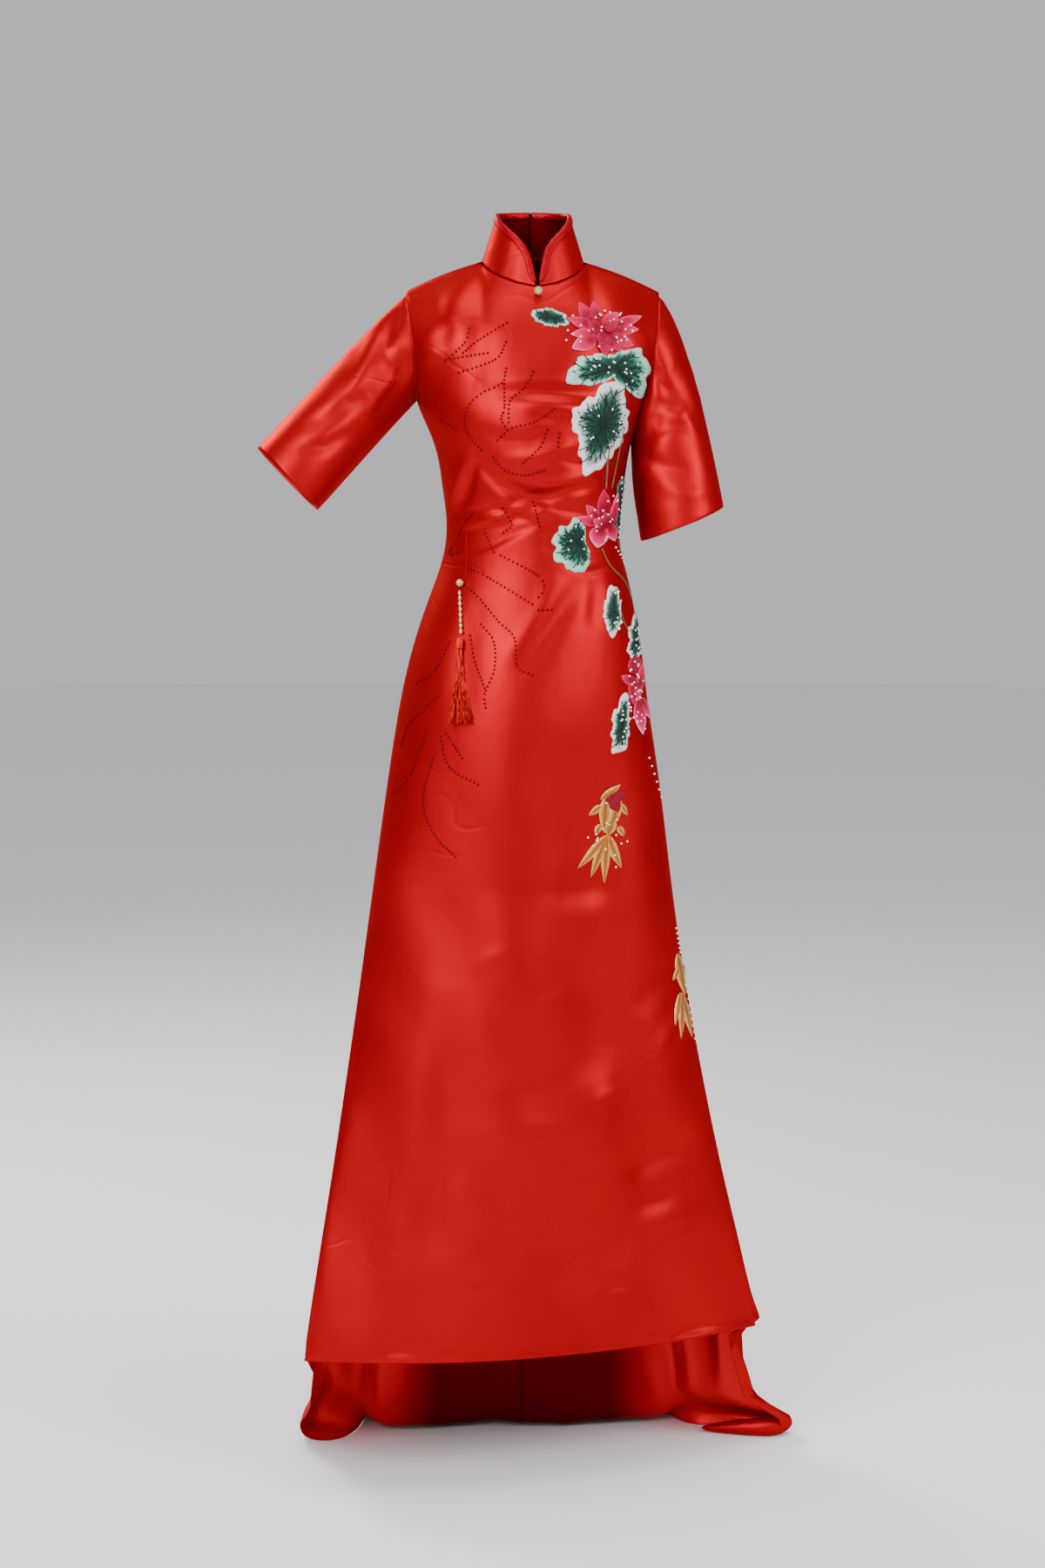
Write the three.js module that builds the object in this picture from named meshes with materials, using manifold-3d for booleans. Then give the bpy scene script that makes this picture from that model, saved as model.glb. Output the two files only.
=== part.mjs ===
// A floor-length satin wedding dress in the cheongsam cut, standing open and hollow as it is worn.
// Millimetres, +Z up, the dress faces -Y. The origin lies between the shoulders, where the wearer
// holds the dress up. The cloth is a thin wall through a grid of points: rows run round the body and
// columns run from the shoulder to the hem. "Left" and "right" are as seen from in front.
import * as THREE from 'three';
import Module from 'manifold-3d';

const wasm = await Module();
wasm.setup();

// ---- Driving dimensions -------------------------------------------------------------------------
const FLOOR_Z = -1530;
const CLOTH = 2;
const SEAM_GAP = 0.4;
const ARMPIT_Z = -165;
const WAIST_END_Z = -400;
const HIP_Z = -640;
const TAIL_Z = -1200;
const HEM_Z = -1360;
const NECK = { width: 66, front: -62, back: 50, frontZ: -18, sideZ: 15, backZ: 22, rise: 0.75 };
const SHOULDER = { x: 160, y: 3, z: -22, arch: 3 };
const YOKE = { frontMiddle: 6, frontSide: 46, backMiddle: 20, backSide: 46, lowered: 0.38 };
const COLLAR_HEIGHT = 58;
const COLLAR_TOP = { width: 47, front: -46, back: 42 };
const BINDING = { width: 8, cloth: 1, gap: 0.8, cover: 0.8 };
const APPLIQUE = { gap: 0.35, thickness: 1, between: 0.6 };
const PETAL = { steps: 5, lean: 0.85, fullness: 0.8, reach: 260 };

// ---- Grid resolution ----------------------------------------------------------------------------
const HALF_COLUMNS = 11;
const NECK_COLUMNS = 4;
const YOKE_ROWS = 8;
const WAIST_ROWS = 9;
const HIP_ROWS = 6;
const SKIRT_ROWS = 9;
const TAIL_ROWS = 10;
const SLEEVE_ROWS = 9;
const COLLAR_ROWS = 4;
const ROUND = { around: 12, up: 8 };

// ---- Tables -------------------------------------------------------------------------------------
// One row for each level: distance of the side seams from the middle, how far forward or back they
// lie, how far the front stands before them, and where the middle of the back is.
const LEVELS = [
  { z: -165, left: 146, right: 140, leftY: 0, rightY: 0, front: 112, back: 92 },
  { z: -190, left: 134, right: 130, leftY: 0, rightY: 0, front: 116, back: 93 },
  { z: -224, left: 121, right: 121, leftY: 0, rightY: 0, front: 112, back: 89 },
  { z: -268, left: 115, right: 115, leftY: 0, rightY: 0, front: 100, back: 84 },
  { z: -312, left: 109, right: 109, leftY: 0, rightY: 0, front: 91, back: 80 },
  { z: -356, left: 114, right: 113, leftY: 0, rightY: 0, front: 92, back: 86 },
  { z: -400, left: 130, right: 125, leftY: 0, rightY: 0, front: 98, back: 100 },
  { z: -466, left: 153, right: 138, leftY: -3, rightY: 0, front: 106, back: 114 },
  { z: -533, left: 169, right: 146, leftY: -8, rightY: 1, front: 111, back: 120 },
  { z: -622, left: 184, right: 160, leftY: -15, rightY: 3, front: 110, back: 124 },
  { z: -869, left: 221, right: 193, leftY: -45, rightY: 5, front: 98, back: 128 },
  { z: -1096, left: 256, right: 236, leftY: -75, rightY: 7, front: 85, back: 131 },
  { z: -1360, left: 299, right: 294, leftY: -108, rightY: 9, front: 70, back: 132 },
  { z: -1530, left: 312, right: 300, leftY: -110, rightY: 16, front: 70, back: 128 },
];
// How round the front and the back are at a level, and the share by which the back draws in behind
// the side seams.
const CURVES = [
  { z: -165, front: 0.5, back: 2, pinch: 0 },
  { z: -533, front: 0.5, back: 2, pinch: 0 },
  { z: -622, front: 0.5, back: 2, pinch: 0 },
  { z: -869, front: 0.6, back: 2.2, pinch: 0 },
  { z: -1096, front: 0.75, back: 2.5, pinch: 0.03 },
  { z: -1360, front: 0.95, back: 3.4, pinch: 0.12 },
  { z: -1530, front: 1, back: 3.5, pinch: 0.06 },
];
// Powers by which folds and the draw-in fade out towards the side seams.
const FADE = { fold: 6, pinch: 8 };

// How the back runs out below the skirt, from the side seam (column 11) to the centre back (0). The
// stretch begins at a height above the floor, turns out by an angle on a radius, runs on straight,
// rolls back by an angle over a length, and ends in a tuck whose edge is at the end height. Side is
// how far sideways the cloth goes as it runs out.
const LEFT_TAIL = [
  { column: 11, start: 330, turn: 0, bend: 50, run: 40, roll: 0, arc: 20, tuck: 14, end: 170, side: -0.3 },
  { column: 10, start: 300, turn: 34, bend: 60, run: 80, roll: 40, arc: 30, tuck: 14, end: 60, side: -0.02 },
  { column: 9, start: 270, turn: 52, bend: 60, run: 120, roll: 110, arc: 64, tuck: 12, end: 2, side: -0.06 },
  { column: 8, start: 225, turn: 56, bend: 46, run: 70, roll: 140, arc: 62, tuck: 12, end: 0, side: -0.15 },
  { column: 7, start: 200, turn: 56, bend: 42, run: 34, roll: 140, arc: 62, tuck: 12, end: 0, side: -0.35 },
  { column: 6, start: 180, turn: 50, bend: 40, run: 18, roll: 80, arc: 40, tuck: 10, end: 0, side: -0.2 },
  { column: 5, start: 160, turn: 88, bend: 28, run: 22, roll: 4, arc: 24, tuck: 10, end: 0, side: -0.2 },
  { column: 4, start: 150, turn: 90, bend: 26, run: 130, roll: 4, arc: 50, tuck: 14, end: 0, side: -0.16 },
  { column: 3, start: 135, turn: 90, bend: 24, run: 270, roll: 2, arc: 60, tuck: 20, end: 0, side: -0.08 },
  { column: 0, start: 120, turn: 90, bend: 24, run: 400, roll: 2, arc: 70, tuck: 20, end: 0, side: 0 },
];
const RIGHT_TAIL = [
  { column: 11, start: 330, turn: 0, bend: 50, run: 40, roll: 0, arc: 20, tuck: 14, end: 170, side: 0.99 },
  { column: 10, start: 200, turn: 70, bend: 44, run: 30, roll: 130, arc: 24, tuck: 12, end: 0, side: 0.99 },
  { column: 9, start: 182, turn: 76, bend: 42, run: 40, roll: 150, arc: 28, tuck: 12, end: 0, side: 0.98 },
  { column: 8, start: 172, turn: 74, bend: 42, run: 36, roll: 150, arc: 28, tuck: 12, end: 0, side: 0.9 },
  { column: 7, start: 168, turn: 64, bend: 40, run: 24, roll: 120, arc: 26, tuck: 10, end: 0, side: 0.7 },
  { column: 6, start: 160, turn: 50, bend: 38, run: 14, roll: 80, arc: 26, tuck: 10, end: 0, side: 0.4 },
  { column: 5, start: 150, turn: 88, bend: 28, run: 22, roll: 4, arc: 24, tuck: 10, end: 0, side: 0.2 },
  { column: 4, start: 145, turn: 90, bend: 26, run: 130, roll: 4, arc: 50, tuck: 14, end: 0, side: 0.16 },
  { column: 3, start: 135, turn: 90, bend: 24, run: 280, roll: 2, arc: 60, tuck: 20, end: 0, side: 0.08 },
  { column: 0, start: 120, turn: 90, bend: 24, run: 400, roll: 2, arc: 70, tuck: 20, end: 0, side: 0 },
];
// Share of the tail rows that each leg takes: straight, turn, run, roll, tuck.
const TAIL_SHARES = [0.1, 0.2, 0.3, 0.3, 0.1];

// Ridges (+) and troughs (-) of the front, each along a line between two places on the panel.
const FRONT_FOLDS = [
  { fromX: -40, fromZ: -560, toX: -75, toZ: -1290, width: 70, height: 9 },
  { fromX: 60, fromZ: -640, toX: 75, toZ: -940, width: 42, height: -9 },
  { fromX: 130, fromZ: -760, toX: 196, toZ: -1200, width: 34, height: 6 },
  { fromX: -85, fromZ: -1190, toX: 60, toZ: -1215, width: 30, height: -6 },
  { fromX: -205, fromZ: -900, toX: -245, toZ: -1290, width: 34, height: -5 },
  { fromX: 128, fromZ: -1150, toX: 236, toZ: -1120, width: 22, height: -5 },
];
const BACK_FOLDS = [
  { fromX: -120, fromZ: -560, toX: -165, toZ: -1330, width: 30, height: 9 },
  { fromX: -60, fromZ: -620, toX: -78, toZ: -1330, width: 26, height: -8 },
  { fromX: 64, fromZ: -600, toX: 84, toZ: -1330, width: 28, height: -8 },
  { fromX: 120, fromZ: -560, toX: 168, toZ: -1330, width: 30, height: 9 },
  { fromX: -195, fromZ: -760, toX: -232, toZ: -1300, width: 24, height: -7 },
  { fromX: 190, fromZ: -760, toX: 236, toZ: -1300, width: 24, height: -7 },
];

// The two sleeves: middle of the cuff, the way the cuff's lower or inner edge lies from it, the way
// the sleeve points, and how the cloth leaves the armhole at the top and at the underarm.
const SLEEVES = [
  {
    name: 'sleeve_left', side: -1, cuff: [-310, -34, -256], under: [0.69, 0, -0.72], front: [0.05, -1, 0],
    wide: 55, deep: 54, axis: [-0.68, -0.16, -0.72], topWay: [-0.85, 0, -0.53], underWay: [-0.69, 0, -0.72],
    topStart: 32, underStart: 60, topEnd: 100, underEnd: 50,
  },
  {
    name: 'sleeve_right', side: 1, cuff: [190, -12, -313], under: [-0.92, 0, -0.39], front: [0, -1, 0],
    wide: 57, deep: 55, axis: [0.18, -0.04, -0.98], topWay: [0.9, 0, -0.43], underWay: [-0.22, 0, -0.97],
    topStart: 28, underStart: 50, topEnd: 110, underEnd: 62,
  },
];
// Folds of the sleeves: where round the sleeve (0 underarm, 0.25 front, 0.5 top, 0.75 back), where
// along it, how far they reach both ways, and how high or deep they are.
const SLEEVE_FOLDS = {
  sleeve_left: [
    { around: 0.2, along: 0.3, spanAround: 0.09, spanAlong: 0.3, height: -7 },
    { around: 0.32, along: 0.45, spanAround: 0.08, spanAlong: 0.35, height: 5 },
    { around: 0.78, along: 0.35, spanAround: 0.09, spanAlong: 0.3, height: -6 },
  ],
  sleeve_right: [
    { around: 0.22, along: 0.42, spanAround: 0.13, spanAlong: 0.1, height: -10 },
    { around: 0.3, along: 0.6, spanAround: 0.14, spanAlong: 0.09, height: 6 },
    { around: 0.22, along: 0.72, spanAround: 0.12, spanAlong: 0.07, height: -6 },
    { around: 0.75, along: 0.45, spanAround: 0.13, spanAlong: 0.1, height: -8 },
  ],
};

// Height of the collar's edge above its seam, by the angle from the centre front.
const COLLAR_EDGE = [
  { turn: 2.6, height: 4 },
  { turn: 4.5, height: 16 },
  { turn: 7.5, height: 30 },
  { turn: 12, height: 41 },
  { turn: 22.5, height: 50.5 },
  { turn: 33.75, height: 54.5 },
  { turn: 45, height: 56.5 },
  { turn: 67.5, height: 58 },
  { turn: 90, height: 58 },
  { turn: 112.5, height: 57 },
  { turn: 135, height: 56 },
  { turn: 157.5, height: 55.5 },
  { turn: 179.7, height: 55 },
];

// Embroidered motifs. Each is a few lens-shaped petals or lobes: the end they grow from, length,
// width, and the way they point, in degrees up from the right.
const MOTIFS = [
  {
    name: 'leaf_1',
    petals: [
      { x: 36, z: -74, length: 44, width: 20, turn: 154 },
      { x: 34, z: -72, length: 30, width: 16, turn: 122 },
      { x: 26, z: -68, length: 26, width: 14, turn: 205 },
    ],
  },
  {
    name: 'lotus_1',
    petals: [
      { x: 82, z: -84, length: 46, width: 26, turn: 128 },
      { x: 80, z: -84, length: 50, width: 22, turn: 152 },
      { x: 82, z: -84, length: 46, width: 24, turn: 188 },
      { x: 84, z: -82, length: 36, width: 22, turn: 96 },
      { x: 84, z: -84, length: 50, width: 22, turn: 36 },
      { x: 84, z: -84, length: 46, width: 24, turn: 8 },
      { x: 80, z: -78, length: 26, width: 24, turn: 262 },
      { x: 84, z: -84, length: 36, width: 20, turn: 338 },
    ],
  },
  {
    name: 'leaf_2',
    petals: [
      { x: 84, z: -122, length: 58, width: 34, turn: 192 },
      { x: 80, z: -118, length: 42, width: 30, turn: 160 },
      { x: 78, z: -120, length: 58, width: 36, turn: 12 },
      { x: 84, z: -124, length: 54, width: 30, turn: -30 },
      { x: 92, z: -112, length: 28, width: 26, turn: 80 },
    ],
  },
  {
    name: 'leaf_3',
    petals: [
      { x: 78, z: -180, length: 54, width: 46, turn: 62 },
      { x: 84, z: -184, length: 44, width: 40, turn: 22 },
      { x: 86, z: -180, length: 48, width: 42, turn: 172 },
      { x: 82, z: -176, length: 62, width: 44, turn: 232 },
      { x: 84, z: -184, length: 56, width: 34, turn: 250 },
    ],
  },
  {
    name: 'lotus_2',
    petals: [
      { x: 76, z: -314, length: 44, width: 24, turn: 96 },
      { x: 76, z: -314, length: 40, width: 22, turn: 62 },
      { x: 76, z: -312, length: 40, width: 20, turn: 138 },
      { x: 76, z: -306, length: 38, width: 28, turn: 274 },
      { x: 74, z: -310, length: 30, width: 18, turn: 200 },
      { x: 74, z: -312, length: 34, width: 18, turn: 20 },
    ],
  },
  {
    name: 'leaf_4',
    petals: [
      { x: 46, z: -332, length: 38, width: 32, turn: 100 },
      { x: 46, z: -334, length: 32, width: 34, turn: 190 },
      { x: 44, z: -334, length: 40, width: 32, turn: 262 },
      { x: 42, z: -332, length: 26, width: 28, turn: 330 },
    ],
  },
  {
    name: 'leaf_8',
    petals: [
      { x: 107, z: -254, length: 68, width: 13, turn: 266 },
    ],
  },
  {
    name: 'leaf_5',
    petals: [
      { x: 95, z: -388, length: 62, width: 20, turn: 262 },
      { x: 96, z: -392, length: 56, width: 20, turn: 280 },
    ],
  },
  {
    name: 'leaf_6',
    petals: [
      { x: 128, z: -430, length: 50, width: 20, turn: 250 },
      { x: 126, z: -436, length: 40, width: 18, turn: 282 },
    ],
  },
  {
    name: 'lotus_3',
    petals: [
      { x: 124, z: -524, length: 48, width: 22, turn: 92 },
      { x: 124, z: -522, length: 40, width: 20, turn: 122 },
      { x: 124, z: -520, length: 36, width: 18, turn: 62 },
      { x: 122, z: -516, length: 62, width: 26, turn: 274 },
      { x: 126, z: -520, length: 44, width: 20, turn: 300 },
    ],
  },
  {
    name: 'leaf_7',
    petals: [
      { x: 101, z: -528, length: 66, width: 22, turn: 264 },
      { x: 102, z: -540, length: 54, width: 22, turn: 250 },
    ],
  },
  {
    name: 'goldfish_1',
    petals: [
      { x: 90.5, z: -636, length: 66, width: 26, turn: 253 },
      { x: 84, z: -689, length: 66, width: 17, turn: 233 },
      { x: 82.5, z: -691, length: 68, width: 17, turn: 265 },
      { x: 84, z: -688, length: 56, width: 15, turn: 293 },
      { x: 86, z: -662, length: 34, width: 12, turn: 218 },
      { x: 92, z: -660, length: 30, width: 12, turn: 300 },
    ],
  },
  {
    name: 'goldfish_2',
    petals: [
      { x: 184, z: -862, length: 66, width: 17, turn: 279 },
      { x: 191, z: -918, length: 62, width: 12, turn: 284 },
      { x: 190, z: -918, length: 56, width: 12, turn: 268 },
    ],
  },
];

const BUTTON = { radius: 6, x: 0, z: -27 };
const BIG_BEAD = { radius: 5, x: -94, z: -386 };
const STRING = { top: -394, bottom: -448, x: -96, beads: 8, bead: 2.5, thread: 0.7, facets: 8 };
// One bead and the thread beside it, by the share of the way along.
const STRING_OUTLINE = [
  { at: 0.06, part: 'thread' },
  { at: 0.3, part: 'bead' },
  { at: 0.7, part: 'bead' },
  { at: 0.94, part: 'thread' },
];
const TASSEL = {
  x: -97, top: -451, head: 13, headRadius: 4, headLift: 0.8, length: 106, spread: 15, depth: 5, strands: 48,
};
const TASSEL_HEAD = [
  { up: 0, radius: 0 },
  { up: 0, radius: 2.2 },
  { up: 3, radius: 4 },
  { up: 6, radius: 3.4 },
  { up: 9, radius: 4 },
  { up: 13, radius: 4 },
  { up: 13, radius: 0 },
];
const STRAND = {
  root: 0.5, tip: 0.42, sides: 3, steps: 3, sink: 3, inside: 0.8, lift: 0.9, flare: 0.8, flatter: 0.25,
  uneven: 0.04, beat: 2.4,
};
const SLIDER = { width: 5, height: 9, thickness: 1.4, above: 40, pin: 0.5, pinLift: 3.5 };
const CHEEK = { width: 0.8, height: 2.4, depth: 4.4 };
const PULL = {
  eye: 1.55, hole: 0.95, eyeWidth: 1.6, length: 20, width: 5, thickness: 1, lean: 8.3, curveSegments: 8,
};

const RED = 0xb81414;
const COLOURS = {
  satin: { color: RED, roughness: 0.38, metalness: 0 },
  binding: { color: 0xa81010, roughness: 0.36, metalness: 0 },
  pearl: { color: 0xe8cf9a, roughness: 0.3, metalness: 0.4 },
  leaf: { color: 0x1f5a48, roughness: 0.6, metalness: 0 },
  petal: { color: 0xe0507e, roughness: 0.6, metalness: 0 },
  gold: { color: 0xdcaa4a, roughness: 0.45, metalness: 0.3 },
  thread: { color: 0xc41a1a, roughness: 0.5, metalness: 0 },
  metal: { color: 0xb02020, roughness: 0.35, metalness: 0.8 },
};

// ---- Reading the tables -------------------------------------------------------------------------
// Smooth value of a table's column at a place along its key, the key rising or falling.
function read(table, key, column, place) {
  const falling = table[0][key] > table[table.length - 1][key];
  const rows = falling ? [...table].reverse() : table;
  const at = THREE.MathUtils.clamp(place, rows[0][key], rows[rows.length - 1][key]);
  let i = rows.findIndex((row) => row[key] >= at);
  i = Math.max(1, i);
  const slope = (n) => {
    const a = rows[Math.max(0, n - 1)];
    const b = rows[Math.min(rows.length - 1, n + 1)];
    return (b[column] - a[column]) / (b[key] - a[key]);
  };
  const [low, high] = [rows[i - 1], rows[i]];
  const span = high[key] - low[key];
  const t = (at - low[key]) / span;
  const t2 = t * t;
  const t3 = t2 * t;
  return (2 * t3 - 3 * t2 + 1) * low[column] + (t3 - 2 * t2 + t) * span * slope(i - 1)
    + (3 * t2 - 2 * t3) * high[column] + (t3 - t2) * span * slope(i);
}

const level = (column, z) => read(LEVELS, 'z', column, z);
const curve = (column, z) => read(CURVES, 'z', column, z);
const smooth = (t) => THREE.MathUtils.smoothstep(t, 0, 1);
const vector = (values) => new THREE.Vector3(...values);

// Height that the folds of a table give the cloth at a place on a panel.
function foldHeight(folds, x, z) {
  let height = 0;
  for (const fold of folds) {
    const dx = fold.toX - fold.fromX;
    const dz = fold.toZ - fold.fromZ;
    const t = ((x - fold.fromX) * dx + (z - fold.fromZ) * dz) / (dx * dx + dz * dz);
    const near = THREE.MathUtils.clamp(t, 0, 1);
    const away = Math.hypot(x - fold.fromX - near * dx, z - fold.fromZ - near * dz) / fold.width;
    height += fold.height * Math.exp(-away * away);
  }
  return height;
}

// ---- The body of the dress: front and back as curves round it -----------------------------------
// Place across a panel of a column, from -1 at the left seam to 1 at the right seam.
const across = (column) => Math.sin((Math.PI / 2) * (column / HALF_COLUMNS));

// Point of the body below the armpit; facing is -1 for the front and 1 for the back.
function bodyPoint(facing, u, z) {
  const left = level('left', z);
  const right = level('right', z);
  const middle = (right - left) / 2;
  const x = middle + (u * (left + right)) / 2;
  const chord = THREE.MathUtils.lerp(level('leftY', z), level('rightY', z), (u + 1) / 2);
  const size = Math.min(1, Math.abs(u));
  if (facing < 0) {
    const depth = level('front', z) * (1 - size * size) ** curve('front', z);
    return new THREE.Vector3(x, chord - depth - foldHeight(FRONT_FOLDS, x, z) * (1 - size ** FADE.fold), z);
  }
  const power = curve('back', z);
  const full = (1 - size ** power) ** (1 / power);
  const inward = 1 - curve('pinch', z) * (1 - size ** FADE.pinch);
  const y = THREE.MathUtils.lerp(chord, level('back', z), full);
  return new THREE.Vector3(
    middle + (x - middle) * inward,
    y + foldHeight(BACK_FOLDS, x, z) * (1 - size ** FADE.fold),
    z,
  );
}

// The neckline at a column: a loop that is low in front and high behind.
function neckPoint(facing, column) {
  const turn = (Math.PI / 2) * (column / NECK_COLUMNS);
  const rise = (1 - Math.cos(turn)) ** NECK.rise;
  const depth = facing < 0 ? NECK.front : NECK.back;
  const middleZ = facing < 0 ? NECK.frontZ : NECK.backZ;
  return new THREE.Vector3(
    NECK.width * Math.sin(turn),
    SHOULDER.y + (depth - SHOULDER.y) * Math.cos(turn),
    middleZ + (NECK.sideZ - middleZ) * rise,
  );
}

// The top edge of a panel: neckline in the middle, shoulder seam outside it.
function topPoint(facing, column) {
  const size = Math.abs(column);
  if (size < NECK_COLUMNS) return neckPoint(facing, column);
  const t = (size - NECK_COLUMNS) / (HALF_COLUMNS - NECK_COLUMNS);
  const x = THREE.MathUtils.lerp(NECK.width, SHOULDER.x, t);
  const z = THREE.MathUtils.lerp(NECK.sideZ, SHOULDER.z, t) + SHOULDER.arch * Math.sin(Math.PI * t);
  return new THREE.Vector3(Math.sign(column) * x, SHOULDER.y, z);
}

// Point of the yoke, between the armpit level (v = 0) and the top edge (v = 1).
function yokePoint(facing, column, v) {
  const u = across(column);
  const low = bodyPoint(facing, u, ARMPIT_Z);
  const high = topPoint(facing, column);
  const point = low.clone().lerp(high, v);
  const outer = smooth(Math.abs(column) / (NECK_COLUMNS + 2));
  const swell = facing < 0
    ? THREE.MathUtils.lerp(YOKE.frontMiddle, YOKE.frontSide, outer)
    : THREE.MathUtils.lerp(YOKE.backMiddle, YOKE.backSide, outer);
  const rise = 1 + YOKE.lowered * (1 - Math.abs(u) ** FADE.fold);
  point.y += facing * swell * Math.sin(Math.PI * v ** rise);
  return point;
}

// ---- Rows of the two panels ---------------------------------------------------------------------
function seamLevels() {
  const levels = [];
  const run = (from, to, count) => {
    for (let i = 1; i <= count; i += 1) levels.push(THREE.MathUtils.lerp(from, to, i / count));
  };
  run(ARMPIT_Z, WAIST_END_Z, WAIST_ROWS);
  run(WAIST_END_Z, HIP_Z, HIP_ROWS);
  run(HIP_Z, TAIL_Z, SKIRT_ROWS);
  run(TAIL_Z, HEM_Z, TAIL_ROWS);
  return levels;
}

function frontGrid() {
  const grid = [];
  const columns = panelColumns();
  for (let i = YOKE_ROWS; i >= 0; i -= 1) grid.push(columns.map((c) => yokePoint(-1, c, i / YOKE_ROWS)));
  for (const z of seamLevels()) grid.push(columns.map((c) => bodyPoint(-1, across(c), z)));
  return grid;
}

function panelColumns() {
  return Array.from({ length: 2 * HALF_COLUMNS + 1 }, (_, i) => i - HALF_COLUMNS);
}

// Row of a tail table at a place along it, halfway rows mixed in a straight line.
function tailAt(column) {
  const table = column < 0 ? LEFT_TAIL : RIGHT_TAIL;
  const size = Math.abs(column);
  const next = Math.max(1, table.findIndex((row) => row.column <= size));
  const [low, high] = [table[next - 1], table[next]];
  const t = (size - low.column) / (high.column - low.column);
  const mix = (key) => THREE.MathUtils.lerp(low[key], high[key], t);
  return Object.fromEntries(Object.keys(low).map((key) => [key, mix(key)]));
}

// The stretch of the back near the floor, as a path in legs. Gives how far out and how high the
// cloth is at a part of the tail rows.
function tailPath(tail, part) {
  if (tail.turn === 0) return { out: 0, height: THREE.MathUtils.lerp(tail.start, tail.end, part) };
  const turn = THREE.MathUtils.degToRad(tail.turn);
  const roll = THREE.MathUtils.degToRad(tail.roll);
  const last = turn - roll;
  const drop = tail.bend * Math.sin(turn) + tail.run * Math.cos(turn)
    + (tail.arc / roll) * (Math.sin(turn) - Math.sin(last)) + tail.tuck * Math.cos(last);
  const end = tail.end + Math.max(0, Math.sin(last)) * CLOTH;
  const legs = [
    { length: tail.start - drop - end, from: 0, to: 0 },
    { length: tail.bend * turn, from: 0, to: turn },
    { length: tail.run, from: turn, to: turn },
    { length: tail.arc, from: turn, to: last },
    { length: tail.tuck, from: last, to: last },
  ];
  let out = 0;
  let height = tail.start;
  let rest = part;
  legs.forEach((leg, i) => {
    const share = THREE.MathUtils.clamp(rest / TAIL_SHARES[i], 0, 1);
    rest -= TAIL_SHARES[i];
    const to = leg.from + (leg.to - leg.from) * share;
    if (Math.abs(leg.to - leg.from) < 1e-6) {
      out += leg.length * share * Math.sin(leg.from);
      height -= leg.length * share * Math.cos(leg.from);
    } else {
      const radius = leg.length / (leg.to - leg.from);
      out += radius * (Math.cos(leg.from) - Math.cos(to));
      height -= radius * (Math.sin(to) - Math.sin(leg.from));
    }
  });
  return { out, height };
}

// Point of the back in its tail rows: the body's curve at that height, moved out.
function tailPoint(column, part) {
  const tail = tailAt(column);
  const path = tailPath(tail, part);
  const point = bodyPoint(1, across(column), FLOOR_Z + path.height);
  const way = new THREE.Vector3(tail.side, Math.sqrt(1 - tail.side * tail.side), 0);
  return point.addScaledVector(way, path.out);
}

// Rows of the back drop faster than the front's towards the centre, because the back is longer.
function backGrid() {
  const grid = [];
  const columns = panelColumns();
  for (let i = YOKE_ROWS; i >= 0; i -= 1) grid.push(columns.map((c) => yokePoint(1, c, i / YOKE_ROWS)));
  const levels = seamLevels();
  const wallRows = levels.length - TAIL_ROWS;
  levels.forEach((z, i) => {
    if (i < wallRows) grid.push(columns.map((c) => bodyPoint(1, across(c), backLevel(c, z))));
    else grid.push(columns.map((c) => tailPoint(c, (i + 1 - wallRows) / TAIL_ROWS)));
  });
  return grid;
}

function backLevel(column, z) {
  const start = FLOOR_Z + tailAt(column).start;
  const below = THREE.MathUtils.clamp((HIP_Z - z) / (HIP_Z - TAIL_Z), 0, 1);
  return z + (start - TAIL_Z) * below;
}

// ---- Walls from grids ---------------------------------------------------------------------------
// Normal of a grid at each point, pointing out of the dress.
function gridNormals(grid, outward, closed = false) {
  const rows = grid.length;
  const columns = grid[0].length;
  const near = (j) => (closed ? (j + columns) % columns : THREE.MathUtils.clamp(j, 0, columns - 1));
  return grid.map((row, i) => row.map((point, j) => {
    const down = grid[Math.min(rows - 1, i + 1)][j].clone().sub(grid[Math.max(0, i - 1)][j]);
    const along = grid[i][near(j + 1)].clone().sub(grid[i][near(j - 1)]);
    return along.cross(down).multiplyScalar(outward).normalize();
  }));
}

// Gives two panels that meet along a seam the same normals there.
function shareNormals(one, other) {
  one.points.forEach((row, i) => row.forEach((point, j) => {
    other.points.forEach((otherRow, m) => otherRow.forEach((otherPoint, n) => {
      if (point.distanceTo(otherPoint) > 0.01) return;
      const both = one.normals[i][j].clone().add(other.normals[m][n]).normalize();
      one.normals[i][j].copy(both);
      other.normals[m][n].copy(both);
    }));
  }));
}

// Draws the edges of a panel back from its seams by half the gap.
function drawIn(points, edges) {
  const rows = points.length;
  const columns = points[0].length;
  const moved = points.map((row) => row.map((point) => point.clone()));
  const pull = (i, j, ni, nj) => {
    const way = points[ni][nj].clone().sub(points[i][j]).normalize();
    moved[i][j].addScaledVector(way, SEAM_GAP / 2);
  };
  for (let i = 0; i < rows; i += 1) {
    if (edges.first) pull(i, 0, i, 1);
    if (edges.last) pull(i, columns - 1, i, columns - 2);
  }
  for (let j = 0; j < columns; j += 1) if (edges.top) pull(0, j, 1, j);
  return moved;
}

const offset = (points, normals, distance) => points.map((row, i) => row.map(
  (point, j) => point.clone().addScaledVector(normals[i][j], distance),
));

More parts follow.
